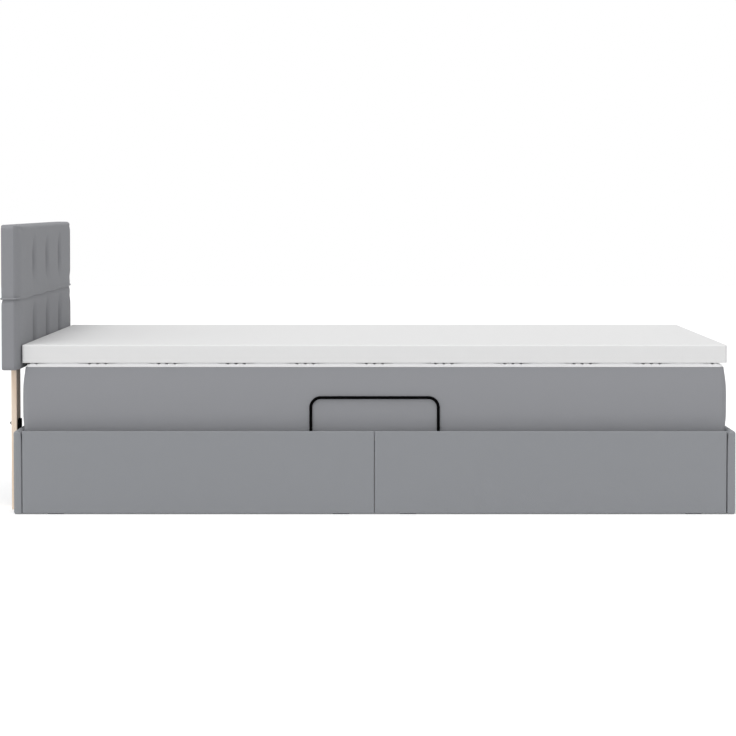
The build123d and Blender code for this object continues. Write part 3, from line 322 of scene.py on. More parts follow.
def wood(name, light, dark, stretch, ring_scale, ring_share, roughness=0.6):
    """Wood whose grain runs along the axis that stretch leaves smallest."""
    material, tree, shader = new_material(name, Roughness=roughness, Specular_IOR_Level=0.35)
    grain = use_group(tree, grain_group, {"Place": object_place(tree), "Stretch": stretch,
                                          "Ring scale": ring_scale, "Ring share": ring_share})
    tree.links.new(blend_colours(tree, grain.outputs["Tone"], dark, light), shader.inputs["Base Color"])
    bump_into(tree, shader, grain.outputs["Height"], WOOD_RELIEF)
    return material


finishes["leg_wood"] = wood(
    "pale leg wood", screen_colour(255, 239, 221), screen_colour(248, 221, 196),
    stretch=(14.0, 14.0, 1.2), ring_scale=1.6, ring_share=0.45)
finishes["slat_wood"] = wood(
    "layered slat wood", screen_colour(229, 202, 160), screen_colour(194, 160, 116),
    stretch=(12.0, 1.0, 12.0), ring_scale=1.2, ring_share=0.35, roughness=0.45)
finishes["batten_wood"] = wood(
    "raw batten wood", screen_colour(222, 196, 158), screen_colour(181, 147, 106),
    stretch=(3.0, 3.0, 12.0), ring_scale=1.4, ring_share=0.5, roughness=0.75)
print("wood finishes made")

# %% [markdown]
# ## Chip board
# The floor boards and the partition are pressed from small chips. Cells with a random tone each read as
# chips, a fine noise is the dust between them, and the low relief of the cells breaks up the gloss.

# %% Board material
CHIP_SHARE, DUST_SHARE = 0.45, 0.55
CHIP_RELIEF = 0.1 * MM


def chip_board(name, light, dark):
    material, tree, shader = new_material(name, Roughness=0.78, Specular_IOR_Level=0.3)
    place = object_place(tree)
    chips = add_node(tree, "ShaderNodeTexVoronoi", {"Vector": place, "Scale": 170.0, "Randomness": 1.0})
    dust = add_node(tree, "ShaderNodeTexNoise", {"Vector": place, "Scale": 90.0, "Detail": 5.0})
    chip_tone = add_node(tree, "ShaderNodeSeparateColor", {0: chips.outputs["Color"]}).outputs[0]
    tone = math_node(tree, "ADD", math_node(tree, "MULTIPLY", chip_tone, CHIP_SHARE),
                     math_node(tree, "MULTIPLY", dust.outputs["Fac"], DUST_SHARE))
    tree.links.new(blend_colours(tree, tone, dark, light), shader.inputs["Base Color"])
    bump_into(tree, shader, chips.outputs["Distance"], CHIP_RELIEF)
    return material


finishes["board"] = chip_board("pressed board", screen_colour(203, 176, 140), screen_colour(164, 133, 97))
print("board finish made")

# %% [markdown]
# ## Rubbed edges
# Painted and plated steel loses its coat first at sharp edges, where it is touched. The group takes how
# sharply the surface turns outwards, breaks that up with a noise and gives a mask. A second, finer noise
# is the speckle of a sprayed or cast surface.

# %% Edge wear group
def make_wear_group():
    tree, start, end = new_group(
        "Edge wear",
        [("Place", "NodeSocketVector", None), ("Sharpness", "NodeSocketFloat", 0.5),
         ("Amount", "NodeSocketFloat", 0.5)],
        [("Mask", "NodeSocketFloat"), ("Speckle", "NodeSocketFloat")])
    place = start.outputs["Place"]
    speckle = add_node(tree, "ShaderNodeTexNoise", {"Vector": place, "Scale": 320.0, "Detail": 4.0})
    patches = add_node(tree, "ShaderNodeTexNoise", {"Vector": place, "Scale": 38.0, "Detail": 3.0})
    edge = add_node(tree, "ShaderNodeMapRange", {"Value": start.outputs["Sharpness"],
                                                 "From Min": 0.54, "From Max": 0.62}, clamp=True)
    rubbed = math_node(tree, "MULTIPLY", edge.outputs[0], patches.outputs["Fac"])
    mask = math_node(tree, "MULTIPLY", rubbed, start.outputs["Amount"], clamp=True)
    tree.links.new(mask, end.inputs["Mask"])
    tree.links.new(speckle.outputs["Fac"], end.inputs["Speckle"])
    return tree


wear_group = make_wear_group()
print("group made:", wear_group.name)

# %% [markdown]
# ## Steel, plastic and rubber
# One material function makes all the hard dark and bright finishes: a surface tone, the tone of its
# rubbed edges, and a fine speckle in its roughness and relief. All of them are matt or satin. The rod
# and the zinc are told apart from the paint by being metal, which colours what they mirror.

# %% Metal, plastic and rubber materials
SPECKLE_ROUGHNESS = 0.16
PLAIN_GLOSS = 0.45


def rubbed_finish(name, tone, rubbed_tone, metallic, roughness, relief, wear, gloss=PLAIN_GLOSS):
    """A hard surface with rubbed edges. The speckle varies the roughness about its middle value."""
    material, tree, shader = new_material(name, Metallic=metallic, Specular_IOR_Level=gloss)
    geometry = tree.nodes.new("ShaderNodeNewGeometry")
    worn = use_group(tree, wear_group, {"Place": object_place(tree), "Amount": wear,
                                        "Sharpness": geometry.outputs["Pointiness"]})
    colour = blend_colours(tree, worn.outputs["Mask"], screen_colour(*tone), screen_colour(*rubbed_tone))
    tree.links.new(colour, shader.inputs["Base Color"])
    varied = math_node(tree, "MULTIPLY", worn.outputs["Speckle"], SPECKLE_ROUGHNESS)
    rough = math_node(tree, "ADD", varied, roughness - SPECKLE_ROUGHNESS / 2)
    tree.links.new(rough, shader.inputs["Roughness"])
    bump_into(tree, shader, worn.outputs["Speckle"], relief)
    return material


finishes["black_steel"] = rubbed_finish("black powder coat", (4, 4, 5), (24, 24, 25), metallic=0.0,
                                        roughness=1.0, relief=0.05 * MM, wear=0.4, gloss=0.05)
finishes["lift_steel"] = rubbed_finish("dark lift paint", (44, 45, 48), (150, 150, 152), metallic=0.0,
                                       roughness=0.92, relief=0.04 * MM, wear=0.6)
finishes["zinc_steel"] = rubbed_finish("zinc plate", (198, 199, 203), (168, 164, 156), metallic=1.0,
                                       roughness=0.84, relief=0.02 * MM, wear=0.4)
finishes["strut_chrome"] = rubbed_finish("polished rod", (222, 223, 226), (200, 200, 202), metallic=1.0,
                                         roughness=0.64, relief=0.005 * MM, wear=0.2)
finishes["black_plastic"] = rubbed_finish("moulded plastic", (34, 34, 36), (62, 62, 64), metallic=0.0,
                                          roughness=1.0, relief=0.06 * MM, wear=0.4)
finishes["rubber"] = rubbed_finish("rubber", (30, 30, 31), (48, 48, 49), metallic=0.0,
                                   roughness=1.0, relief=0.08 * MM, wear=0.3)
print("finishes so far:", len(finishes))

# %% [markdown]
# ## Finishes on the CAD pieces
# The record says which finish each CAD piece takes. A loop puts them on. The soft pieces get theirs
# again below, on the new meshes that replace them.

# %% Put the finishes on the CAD pieces
for subpart in frame["record"]["subparts"]:
    for slot in nodes[subpart["node"]].material_slots:
        slot.material = finishes[subpart["material_slot"]]

# %% [markdown]
# ## Soft blocks from a grid
# Every upholstered piece of this bed starts as a block: a panel, a cushion, a mattress. A block made of
# a fine grid can be rounded, drawn in and swollen by moving its points, and it stays closed. The grid
# lines lie close together near the edges, where the shape turns, and wide apart elsewhere.

# %% Grid block helpers
X, Y, Z = 0, 1, 2
EDGE_LINES = 5


def grid_lines(low, high, spacing, edge_low, edge_high=None):
    """Places of the grid lines: EDGE_LINES steps within each edge zone, wider steps between."""
    edge_high = edge_low if edge_high is None else edge_high
    inner_low, inner_high = low + edge_low, high - edge_high
    count = max(1, round((inner_high - inner_low) / spacing))
    lines = list(np.linspace(low, inner_low, EDGE_LINES, endpoint=False)) if edge_low else []
    lines += list(np.linspace(inner_low, inner_high, count + 1))
    if edge_high:
        lines += list(np.linspace(inner_high, high, EDGE_LINES + 1)[1:])
    return lines


def grid_block(xs, ys, zs):
    """Points and faces of the closed surface of a block cut by three sets of grid lines."""
    lines = (xs, ys, zs)
    index, points, faces = {}, [], []

    def corner(key):
        if key not in index:
            index[key] = len(points)
            points.append([lines[axis][key[axis]] for axis in range(3)])
        return index[key]

    for axis in range(3):
        first, second = (axis + 1) % 3, (axis + 2) % 3
        for side in (0, len(lines[axis]) - 1):
            for i in range(len(lines[first]) - 1):
                for j in range(len(lines[second]) - 1):
                    quad = []
                    for di, dj in ((0, 0), (1, 0), (1, 1), (0, 1)):
                        key = [0, 0, 0]
                        key[axis], key[first], key[second] = side, i + di, j + dj
                        quad.append(corner(tuple(key)))
                    faces.append(quad if side else quad[::-1])
    return np.array(points), faces


def node_corners(name):
    """Lowest and highest corner of a CAD piece, ready for sums."""
    low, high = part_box(name)
    return np.array(low), np.array(high)


sample_points, sample_faces = grid_block([0, 1], [0, 1], [0, 1])
print("a block without inner lines has", len(sample_points), "points and", len(sample_faces), "faces")

# %% [markdown]
# ## Shaping a block
# The points are moved by formulas. One turns a square edge into a round one, one draws the sides in, and
# three small curves say how strongly a shape works at each point: a step, a hump and a slow noise.

# %% Shaping helpers
def half_inside(points, low, high, axis):
    """Distance of each point from the nearer of two opposite faces."""
    return np.minimum(points[:, axis] - low[axis], high[axis] - points[:, axis])


def round_corner(points, low, high, radius, a, side_a, b, side_b):
    """Turn one square corner into a quarter circle, in the plane of the axes a and b."""
    centre_a = (high[a] - radius) if side_a > 0 else (low[a] + radius)
    centre_b = (high[b] - radius) if side_b > 0 else (low[b] + radius)
    da = side_a * (points[:, a] - centre_a)
    db = side_b * (points[:, b] - centre_b)
    zone = (da > 0) & (db > 0)
    pull = np.maximum(da[zone], db[zone]) / np.hypot(da[zone], db[zone])
    points[zone, a] = centre_a + side_a * da[zone] * pull
    points[zone, b] = centre_b + side_b * db[zone] * pull


def round_plan(points, low, high, radius):
    """Round the four upright corners."""
    for side_x in (-1, 1):
        for side_y in (-1, 1):
            round_corner(points, low, high, radius, X, side_x, Y, side_y)


def draw_in(points, low, high, reach, inset, axes=(X, Y)):
    """Move the sides inwards in plan, by an inset that is given for each point."""
    for axis in axes:
        middle = (low[axis] + high[axis]) / 2
        half = (high[axis] - low[axis]) / 2
        from_middle = points[:, axis] - middle
        share = np.clip((np.abs(from_middle) - (half - reach)) / reach, 0.0, 1.0)
        points[:, axis] -= np.sign(from_middle) * share * inset


def slow_noise(points, scale, seed):
    """Smooth noise from -1 to 1 at each point. scale holds waves per metre along each axis."""
    shift = Vector((seed * 17.3, seed * 5.1, seed * 9.7))
    return np.array([noise.noise(Vector(p) * Vector(scale) + shift) for p in points])


def smooth_step(value):
    """0 below 0, 1 above 1, and a soft rise between."""
    value = np.clip(value, 0.0, 1.0)
    return value * value * (3 - 2 * value)


def hump(value, width):
    """1 where value is zero, fading to nothing some widths away."""
    return np.exp(-(value / width) ** 2)


print("half way up, a soft rise is at", float(smooth_step(0.5)))

# %% [markdown]
# ## From points to a piece
# One helper builds the mesh and one ties it to the frame. They are apart because a cushion is filled
# with air between the two: the simulation works on the plain mesh, and the smoothing comes after it.

# %% Piece helpers
def new_piece(name, points, faces):
    """A new object with a smooth-shaded mesh."""
    mesh = bpy.data.meshes.new(name)
    mesh.from_pydata([tuple(p) for p in points], [], faces)
    mesh.shade_smooth()
    piece = bpy.data.objects.new(name, mesh)
    bpy.context.scene.collection.objects.link(piece)
    return piece


def points_of(mesh):
    """The mesh's points as an array."""
    flat = np.empty(len(mesh.vertices) * 3)
    mesh.vertices.foreach_get("co", flat)
    return flat.reshape(-1, 3)


def put_points(mesh, points):
    """Move the mesh's points to new places."""
    mesh.vertices.foreach_set("co", points.ravel())
    mesh.update()


def finish_piece(piece, finish, body, replaced, smoothing=1):
    """Give a piece its finish, smooth it, tie it to the body it moves with, and hide the CAD parts that it
    replaces.
    """
    piece.data.materials.append(finishes[finish])
    if smoothing:
        round_off = piece.modifiers.new("smooth", "SUBSURF")
        round_off.levels = round_off.render_levels = smoothing
    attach(piece, body)
    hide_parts(*replaced)
    print(piece.name, "has", len(piece.data.polygons), "faces")
    return piece


# %% [markdown]
# ## Air in the cushions
# A cover is cut flat and filled until it is tight, and that is what gives a cushion its crown and its
# small pulls. So the cover is simulated as cloth with pressure inside and no gravity. Points that are
# sewn down keep their place. A cap keeps the swelling as small as on the real piece, and a share for
# each point fades it out where the cover lies on a board or on a neighbour.

# %% Cloth simulation helper
SIM_FRAMES = 20
POINT_FORCE = 1.5e-4
LEAST_MOVE = MM / 1000


def fill_with_air(piece, sewn, cap, share):
    """Swell a closed cover. sewn marks the fixed points, and share says how far each one may swell."""
    mesh = piece.data
    cut = points_of(mesh)
    sizes = np.empty(len(mesh.polygons))
    mesh.polygons.foreach_get("area", sizes)
    group = piece.vertex_groups.new(name="sewn down")
    group.add([int(i) for i in np.flatnonzero(sewn)], 1.0, "REPLACE")
    cover = piece.modifiers.new("cover", "CLOTH")
    cover.settings.use_pressure = True
    cover.settings.uniform_pressure_force = POINT_FORCE / sizes.mean()
    cover.settings.vertex_group_mass = group.name
    cover.settings.effector_weights.gravity = 0.0
    cover.point_cache.frame_start = 1
    cover.point_cache.frame_end = SIM_FRAMES
    for number in range(1, SIM_FRAMES + 1):
        bpy.context.scene.frame_set(number)
    filled = points_of(piece.evaluated_get(bpy.context.evaluated_depsgraph_get()).data)
    piece.modifiers.remove(cover)
    piece.vertex_groups.remove(group)
    moved = filled - cut
    length = np.maximum(np.linalg.norm(moved, axis=1), LEAST_MOVE)
    moved *= (np.minimum(length, cap) / length * share)[:, None]
    put_points(mesh, cut + moved)
    bpy.context.scene.frame_set(1)
    print(piece.name, "swelled by up to", round(1000 * np.linalg.norm(moved, axis=1).max(), 1), "mm")


print("simulation helper ready")

# %% [markdown]
# ## The box panels
# Each panel is a board with a thin sheet of foam and a cover pulled tight round it. The outer edges are
# crisp, rounder at the two end panels, and the top rolls over softly towards the inside. Faces swell by
# less than a millimetre. Where two panels meet at the middle the covers roll in, and at the end panels a
# joint of a millimetre or two stays open: both show as dark lines. The board behind keeps each panel
# straight, so no air is needed here: the rounding and a slow noise give the form.

# %% Panel shape
PANEL_EDGE = 2.2 * MM
END_PANEL_EDGE = 6.5 * MM
PANEL_TOP_FLAT = 1 * MM
PANEL_JOINT = 4.5 * MM
SEAM_ROLL = 4.5 * MM
HEAD_JOINT_GAP = 1.2 * MM
FOOT_JOINT_GAP = 2.0 * MM
PANEL_SPACING = 26 * MM


def panel_ends(low, high, along):
    """Radius at each end of a panel. Side panels are also made shorter where they meet an end panel."""
    at_head = low[X] < bed_middle_x - SEAM_ROLL
    if along == X:
        low[X] += HEAD_JOINT_GAP if at_head else 0
        high[X] -= 0 if at_head else FOOT_JOINT_GAP
    return {-1: PANEL_JOINT if at_head else SEAM_ROLL, 1: SEAM_ROLL if at_head else PANEL_JOINT}


def panel_block(low, high, along, out_axis, out_side, edge, inner, ends):
    """Grid of a panel, with lines crowded where its edges will be rounded."""
    lines = []
    for axis in (X, Y, Z):
        edges = (ends[-1], ends[1]) if axis == along == X else (edge, edge)
        if axis == out_axis:
            edges = (edge, inner) if out_side < 0 else (inner, edge)
        lines.append(grid_lines(low[axis], high[axis], PANEL_SPACING, *edges))
    return grid_block(*lines)


print("the top of a side panel's cover is flat for", round(1000 * PANEL_TOP_FLAT), "mm only")

# %% Panels
PANEL_SWELL = 0.8 * MM
PANEL_SWELL_REACH = 60 * MM
PANEL_RIPPLE = 0.35 * MM
PANEL_WAVES = (5.0, 5.0, 3.0)
ON_FACE = 0.2 * MM


def face_swell(points, low, high, axis):
    """Share of the swell at each point: nothing at the edges of the face, 1 well inside it."""
    share = np.ones(len(points))
    for other in sorted({X, Y, Z} - {axis}):
        share *= smooth_step(half_inside(points, low, high, other) / PANEL_SWELL_REACH)
    return share


def panel(name, node, along, out_axis, out_side, seed):
    """A covered board. along is its long axis, and out_axis and out_side say where it faces."""
    low, high = node_corners(node)
    ends = panel_ends(low, high, along)
    edge = PANEL_EDGE if along == X else END_PANEL_EDGE
    inner = high[out_axis] - low[out_axis] - edge - PANEL_TOP_FLAT
    points, faces = panel_block(low, high, along, out_axis, out_side, edge, inner, ends)
    plane = (high if out_side > 0 else low)[out_axis]
    outer = np.abs(points[:, out_axis] - plane) < ON_FACE
    swell = PANEL_SWELL * face_swell(points, low, high, out_axis)
    swell += PANEL_RIPPLE * slow_noise(points, PANEL_WAVES, seed)
    points[outer, out_axis] += out_side * swell[outer]
    round_corner(points, low, high, edge, out_axis, out_side, Z, 1)
    round_corner(points, low, high, inner, out_axis, -out_side, Z, 1)
    for end in (-1, 1):
        if along == Y:
            round_corner(points, low, high, edge, Y, end, Z, 1)
            round_corner(points, low, high, edge, Y, end, out_axis, out_side)
            round_corner(points, low, high, PANEL_JOINT, Y, end, out_axis, -out_side)
        else:
            round_corner(points, low, high, ends[end], X, end, out_axis, out_side)
    round_corner(points, low, high, PANEL_JOINT, out_axis, out_side, Z, -1)
    return finish_piece(new_piece(name, points, faces), "panel_fabric", "base", [node])


panel("cover_foot_panel", "foot_panel", Y, X, 1, seed=1)
panel("cover_head_panel", "head_panel", Y, X, -1, seed=2)
panel("cover_near_head", "side_panel_near_head", X, Y, -1, seed=3)
panel("cover_near_foot", "side_panel_near_foot", X, Y, -1, seed=4)
panel("cover_far_head", "side_panel_far_head", X, Y, 1, seed=5)
panel("cover_far_foot", "side_panel_far_foot", X, Y, 1, seed=6)

# %% [markdown]
# ## The mattress border
# The grey sides of the mattress are one long strip of cloth with foam and springs behind it. It is sewn
# to the top and to the bottom, which draws it in, more at the top. The ends swell a little over the end
# panels, but not so far that they rub on the headboard when the lid is lifted. Faint upright pulls show
# where the strip was eased round. The block is cut drawn in, and the air then pushes the strip out.

# %% Mattress border
MATTRESS_CORNER = 14 * MM
MATTRESS_SPACING = 26 * MM
MATTRESS_LAYER = 12 * MM
MATTRESS_PULL_LOW = 0.5 * MM
MATTRESS_PULL_HIGH = 4.5 * MM
MATTRESS_PULL_POWER = 2.6
MATTRESS_HEAD_SWELL = 2.6 * MM
MATTRESS_FOOT_SWELL = 2.6 * MM
MATTRESS_FREE_LOW = 40 * MM
MATTRESS_FREE_HIGH = 50 * MM
MATTRESS_AIR_CAP = 2.5 * MM
MATTRESS_SEAM = 5 * MM
BROAD_PULL, BROAD_WAVES = 0.5 * MM, (9.0, 9.0, 1.5)
FINE_PULL, FINE_WAVES = 0.2 * MM, (26.0, 26.0, 3.0)
PULL_FADE_POWER = 4


def mattress_border():
    low, high = node_corners("mattress_border")
    rim = node_corners("side_panel_near_head")[1][Z]
    xs = grid_lines(low[X], high[X], MATTRESS_SPACING, MATTRESS_CORNER)
    ys = grid_lines(low[Y], high[Y], MATTRESS_SPACING, MATTRESS_CORNER)
    zs = grid_lines(low[Z], high[Z], MATTRESS_LAYER, MATTRESS_LAYER)
    points, faces = grid_block(xs, ys, zs)
    height = (points[:, Z] - low[Z]) / (high[Z] - low[Z])
    away = np.abs(2 * height - 1)
    pulls = BROAD_PULL * slow_noise(points, BROAD_WAVES, seed=11)
    pulls += FINE_PULL * slow_noise(points, FINE_WAVES, seed=12)
    free = smooth_step((points[:, Z] - rim) / MATTRESS_FREE_LOW)
    free *= smooth_step((high[Z] - points[:, Z]) / MATTRESS_FREE_HIGH)
    seam_pull = np.where(height < 0.5, MATTRESS_PULL_LOW, MATTRESS_PULL_HIGH) * away ** MATTRESS_PULL_POWER
    draw_in(points, low, high, MATTRESS_CORNER, seam_pull + pulls * (1 - away ** PULL_FADE_POWER))
    end_swell = np.where(points[:, X] < bed_middle_x, MATTRESS_HEAD_SWELL, MATTRESS_FOOT_SWELL)
    draw_in(points, low, high, MATTRESS_CORNER, -end_swell * free, axes=(X,))
    round_plan(points, low, high, MATTRESS_CORNER)
    piece = new_piece("mattress_border_cover", points, faces)
    sewn = half_inside(points, low, high, Z) < MATTRESS_SEAM
    fill_with_air(piece, sewn, MATTRESS_AIR_CAP, free)
    return finish_piece(piece, "mattress_grey", "lid", ["mattress_border"])


mattress_border()

# %% [markdown]
# ## The quilted top
# Only the rim of the white top shows, as a bright strip under the topper. It is quilted in groups of
# three seams that run across the bed. Each seam pulls the knit down, so the topper, which lies on the
# high parts, leaves three small dark gaps there, and a faint wider one round them. The two ends of the
# top fall away, so a thin wedge of shade opens under the topper's ends.

# %% Quilted top
QUILT_SPACING = 2.75 * MM
QUILT_ACROSS = 60 * MM
QUILT_LAYER = 2.2 * MM
QUILT_STEP = 187 * MM
QUILT_SEAM_STEP = 22 * MM
QUILT_SEAM_DEPTH = 3.8 * MM
QUILT_SEAM_HALF = 6 * MM
QUILT_SINK = 1.2 * MM
QUILT_SINK_HALF = 60 * MM
QUILT_SINK_SLOPE = 3
QUILT_RIM = 2.5 * MM
QUILT_END_DROP = 6.5 * MM
QUILT_END_REACH = 38 * MM


def quilt_depth(x):
    """How far the knit lies under its highest parts, at places x along the bed."""
    from_group = (x - bed_middle_x + QUILT_STEP / 2) % QUILT_STEP - QUILT_STEP / 2
    depth = QUILT_SINK * smooth_step((1 - np.abs(from_group) / QUILT_SINK_HALF) * QUILT_SINK_SLOPE)
    for seam in (-1, 0, 1):
        from_line = np.abs(from_group - seam * QUILT_SEAM_STEP)
        depth += (QUILT_SEAM_DEPTH - QUILT_SINK) * smooth_step(1 - from_line / QUILT_SEAM_HALF)
    return depth


def quilted_top():
    low, high = node_corners("mattress_top")
    xs = grid_lines(low[X], high[X], QUILT_SPACING, MATTRESS_CORNER)
    ys = grid_lines(low[Y], high[Y], QUILT_ACROSS, QUILT_RIM)
    zs = grid_lines(low[Z], high[Z], QUILT_LAYER, 0)
    points, faces = grid_block(xs, ys, zs)
    up = (points[:, Z] - low[Z]) / (high[Z] - low[Z])
    for axis in (X, Y):
        for side in (-1, 1):
            round_corner(points, low, high, QUILT_RIM, axis, side, Z, 1)
    round_plan(points, low, high, MATTRESS_CORNER)
    from_end = half_inside(points, low, high, X)
    end_drop = QUILT_END_DROP * np.clip(1 - from_end / QUILT_END_REACH, 0, 1) ** 2
    points[:, Z] -= np.maximum(quilt_depth(points[:, X]), end_drop) * up
    piece = new_piece("quilted_top_cover", points, faces)
    return finish_piece(piece, "mattress_white", "lid", ["mattress_top"], smoothing=0)


quilted_top()

# %% [markdown]
# ## The topper
# A flat slab of foam in a thin white knit cover. Its upper edges are rounder than its lower ones, its
# corners are tight, and a little air under the knit gives the top a very low, slow unevenness.

# %% Topper
TOPPER_SPACING = 24 * MM
TOPPER_LAYER = 8 * MM
TOPPER_CORNER = 8 * MM
TOPPER_UPPER = 4 * MM
TOPPER_LOWER = 1.5 * MM
TOPPER_SKIN = 1 * MM
TOPPER_UNEVEN, TOPPER_WAVES = 1.0 * MM, (4.0, 4.0, 1.0)
TOPPER_UNEVEN_REACH = 80 * MM
TOPPER_AIR_CAP = 1.2 * MM
TOPPER_AIR_REACH = 40 * MM


def topper():
    low, high = node_corners("topper")
    xs = grid_lines(low[X], high[X], TOPPER_SPACING, TOPPER_CORNER)
    ys = grid_lines(low[Y], high[Y], TOPPER_SPACING, TOPPER_CORNER)
    zs = grid_lines(low[Z], high[Z], TOPPER_LAYER, TOPPER_LOWER, TOPPER_UPPER)
    points, faces = grid_block(xs, ys, zs)
    on_top = points[:, Z] > high[Z] - TOPPER_SKIN
    inside = np.minimum(half_inside(points, low, high, X), half_inside(points, low, high, Y))
    uneven = TOPPER_UNEVEN * slow_noise(points, TOPPER_WAVES, seed=21)
    uneven *= smooth_step(inside / TOPPER_UNEVEN_REACH)
    points[on_top, Z] += uneven[on_top]
    for axis in (X, Y):
        for side in (-1, 1):
            round_corner(points, low, high, TOPPER_UPPER, axis, side, Z, 1)
            round_corner(points, low, high, TOPPER_LOWER, axis, side, Z, -1)
    round_plan(points, low, high, TOPPER_CORNER)
    piece = new_piece("topper_cover", points, faces)
    lower = points[:, Z] < low[Z] + TOPPER_LOWER
    fill_with_air(piece, lower, TOPPER_AIR_CAP, smooth_step(inside / TOPPER_AIR_REACH))
    return finish_piece(piece, "topper_white", "lid", ["topper"])


topper()

# %% [markdown]
# ## The headboard
# Foam and cloth over a board, in two rows of four columns, with a welt right round between the rows.
# Each row is its own soft block. Its front stays a little behind the front of the CAD pad, because the
# mattress and the topper pass it closely when the lid is lifted.

# %% Headboard measures
HEAD_SWEEP_GAP = 1.7 * MM
HEAD_FRONT_GAP = 0.5 * MM
COLUMN_WIDTH = 226 * MM
WELT_DROP = 2.5 * MM

welt_low, welt_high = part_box("headboard_welt")
welt_z = (welt_low.z + welt_high.z) / 2 - WELT_DROP
pad_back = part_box("headboard_pad_back")[0]
pad_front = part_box("headboard_pad_lower")[1].x
leg_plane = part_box("headboard_leg_near")[1].x
head_half = -pad_back.y
front_limit = pad_front - HEAD_SWEEP_GAP
front_plane = front_limit - HEAD_FRONT_GAP
column_ends = [-head_half, -COLUMN_WIDTH, 0.0, COLUMN_WIDTH, head_half]
column_widths = [round(1000 * (end - start)) for start, end in zip(column_ends, column_ends[1:])]
print("headboard columns are", column_widths, "mm wide")

# %% [markdown]
# ## The tufting
# Three upright seams in each row are pulled deep into the foam at half height and fade out towards the
# row's ends. A narrow crease is cut there by formula, in a wide shallow dish, and grid lines are crowded
# round each seam to carry it.

# %% Upright seams
TUFT_DEPTH = 8.5 * MM
TUFT_HALF = 13 * MM
TUFT_DISH = 1.8 * MM
TUFT_DISH_HALF = 40 * MM
TUFT_DISH_FADE = 0.3
COLUMN_LINES = 28
COLUMN_EVEN_SHARE = 0.35


def from_seam(y):
    """Distance along Y to the nearest upright seam."""
    return np.min([np.abs(y - seam) for seam in column_ends[1:-1]], axis=0)


def column_lines():
    """Grid lines across the headboard, crowded at the seams and at the two side edges."""
    lines = []
    for start, end in zip(column_ends, column_ends[1:]):
        for i in range(COLUMN_LINES):
            even = i / COLUMN_LINES
            crowded = (1 - math.cos(math.pi * even)) / 2
            place = COLUMN_EVEN_SHARE * even + (1 - COLUMN_EVEN_SHARE) * crowded
            lines.append(start + (end - start) * place)
    return lines + [head_half]


def tuft_pull(y, share, reach):
    """How far the seams pull the front in, at places y across and share up the row, and how strongly."""
    from_middle = np.abs(share - 0.5)
    strength = smooth_step((reach - from_middle) / reach)
    crease = TUFT_DEPTH * strength * hump(from_seam(y), TUFT_HALF)
    dish = TUFT_DISH * hump(from_seam(y), TUFT_DISH_HALF)
    return crease + dish * smooth_step((0.5 - from_middle) / TUFT_DISH_FADE), strength


print("grid lines across the headboard:", len(column_lines()))

# %% [markdown]
# ## Curves of the rows
# The front falls away softly towards the two side edges, where the foam ends. The welt's line rises a
# little at the seams. All of this fades out towards the back, where the cloth is pulled flat over the
# board.

# %% Side edges and front
SIDE_FALL = 10 * MM
SIDE_FALL_REACH = 50 * MM


def side_fall(y):
    """How far the front falls away towards the two side edges."""
    return SIDE_FALL * (1 - smooth_step((head_half - np.abs(y)) / SIDE_FALL_REACH))


def seam_wave(y):
    """1 at the upright seams, -1 at the middle of a column."""
    return np.cos(2 * math.pi * y / COLUMN_WIDTH)


def front_share(x):
    """0 at the legs' plane and behind it, 1 at the front."""
    return smooth_step((x - leg_plane) / (front_plane - leg_plane))


print("the front falls by", round(1000 * side_fall(head_half)), "mm at the side edges")

# %% [markdown]
# ## The two rows
# The rows differ in three ways. The seams of the lower one reach further, the welt draws it in more, and
# away from its near edge it is painted a little darker, as painted shade. After the air has rounded the
# columns, the painted shade at the seams and on the lower row is written on the mesh for the material to
# read.

# %% Shape of a row
HEAD_FRONT_EDGE = 10 * MM
HEAD_BACK_EDGE = 4 * MM
HEAD_RIM = 6 * MM
HEAD_CORNER = 13 * MM
HEAD_DEPTH_SPACING = 9 * MM
HEAD_LAYER = 6.5 * MM
UPPER_REACH_SHARE = 0.40
LOWER_REACH_SHARE = 0.50
WELT_UPPER_DRAW = 0.4 * MM
WELT_LOWER_DRAW = 3.0 * MM
WELT_REACH = 7 * MM
WELT_HALF = 3 * MM
WELT_WAVE = 1.0 * MM
WELT_WAVE_REACH = 3 * WELT_REACH
TOP_NICK_SHARE = 0.1
TOP_NICK_RISE = 6


def row_block(z_low, z_high):
    """The plain block of a row, its two corners, and how far each point lies towards the front."""
    low = np.array((pad_back.x, pad_back.y, z_low))
    high = np.array((front_plane, head_half, z_high))
    xs = grid_lines(low[X], high[X], HEAD_DEPTH_SPACING, HEAD_BACK_EDGE, HEAD_FRONT_EDGE)
    zs = grid_lines(low[Z], high[Z], HEAD_LAYER, HEAD_CORNER)
    points, faces = grid_block(xs, column_lines(), zs)
    return points, faces, low, high, front_share(points[:, X])


def shape_row(points, low, high, forward, share, pull, from_welt, rim):
    """Cut the seams, draw the row in at the welt, round its edges and let its sides fall away."""
    draw = (WELT_UPPER_DRAW if rim > 0 else WELT_LOWER_DRAW) * hump(from_welt, WELT_REACH)
    wave = WELT_WAVE * seam_wave(points[:, Y]) * hump(from_welt, WELT_WAVE_REACH)
    nick = TOP_NICK_SHARE * pull * (rim > 0) * smooth_step(TOP_NICK_RISE * (share - 1) + 1)
    fall = side_fall(points[:, Y]) * forward
    draw_in(points, low, high, HEAD_FRONT_EDGE, draw)
    points[:, X] -= pull * forward
    points[:, Z] += (wave - nick) * forward
    for side in (-1, 1):
        round_corner(points, low, high, HEAD_FRONT_EDGE, X, 1, Y, side)
        round_corner(points, low, high, HEAD_BACK_EDGE, X, -1, Y, side)
        round_corner(points, low, high, HEAD_CORNER, Y, side, Z, rim)
    round_corner(points, low, high, HEAD_RIM, X, 1, Z, rim)
    round_corner(points, low, high, HEAD_BACK_EDGE, X, -1, Z, rim)
    points[:, X] -= fall


print("the welt's line is at", round(welt_z, 3), "m")

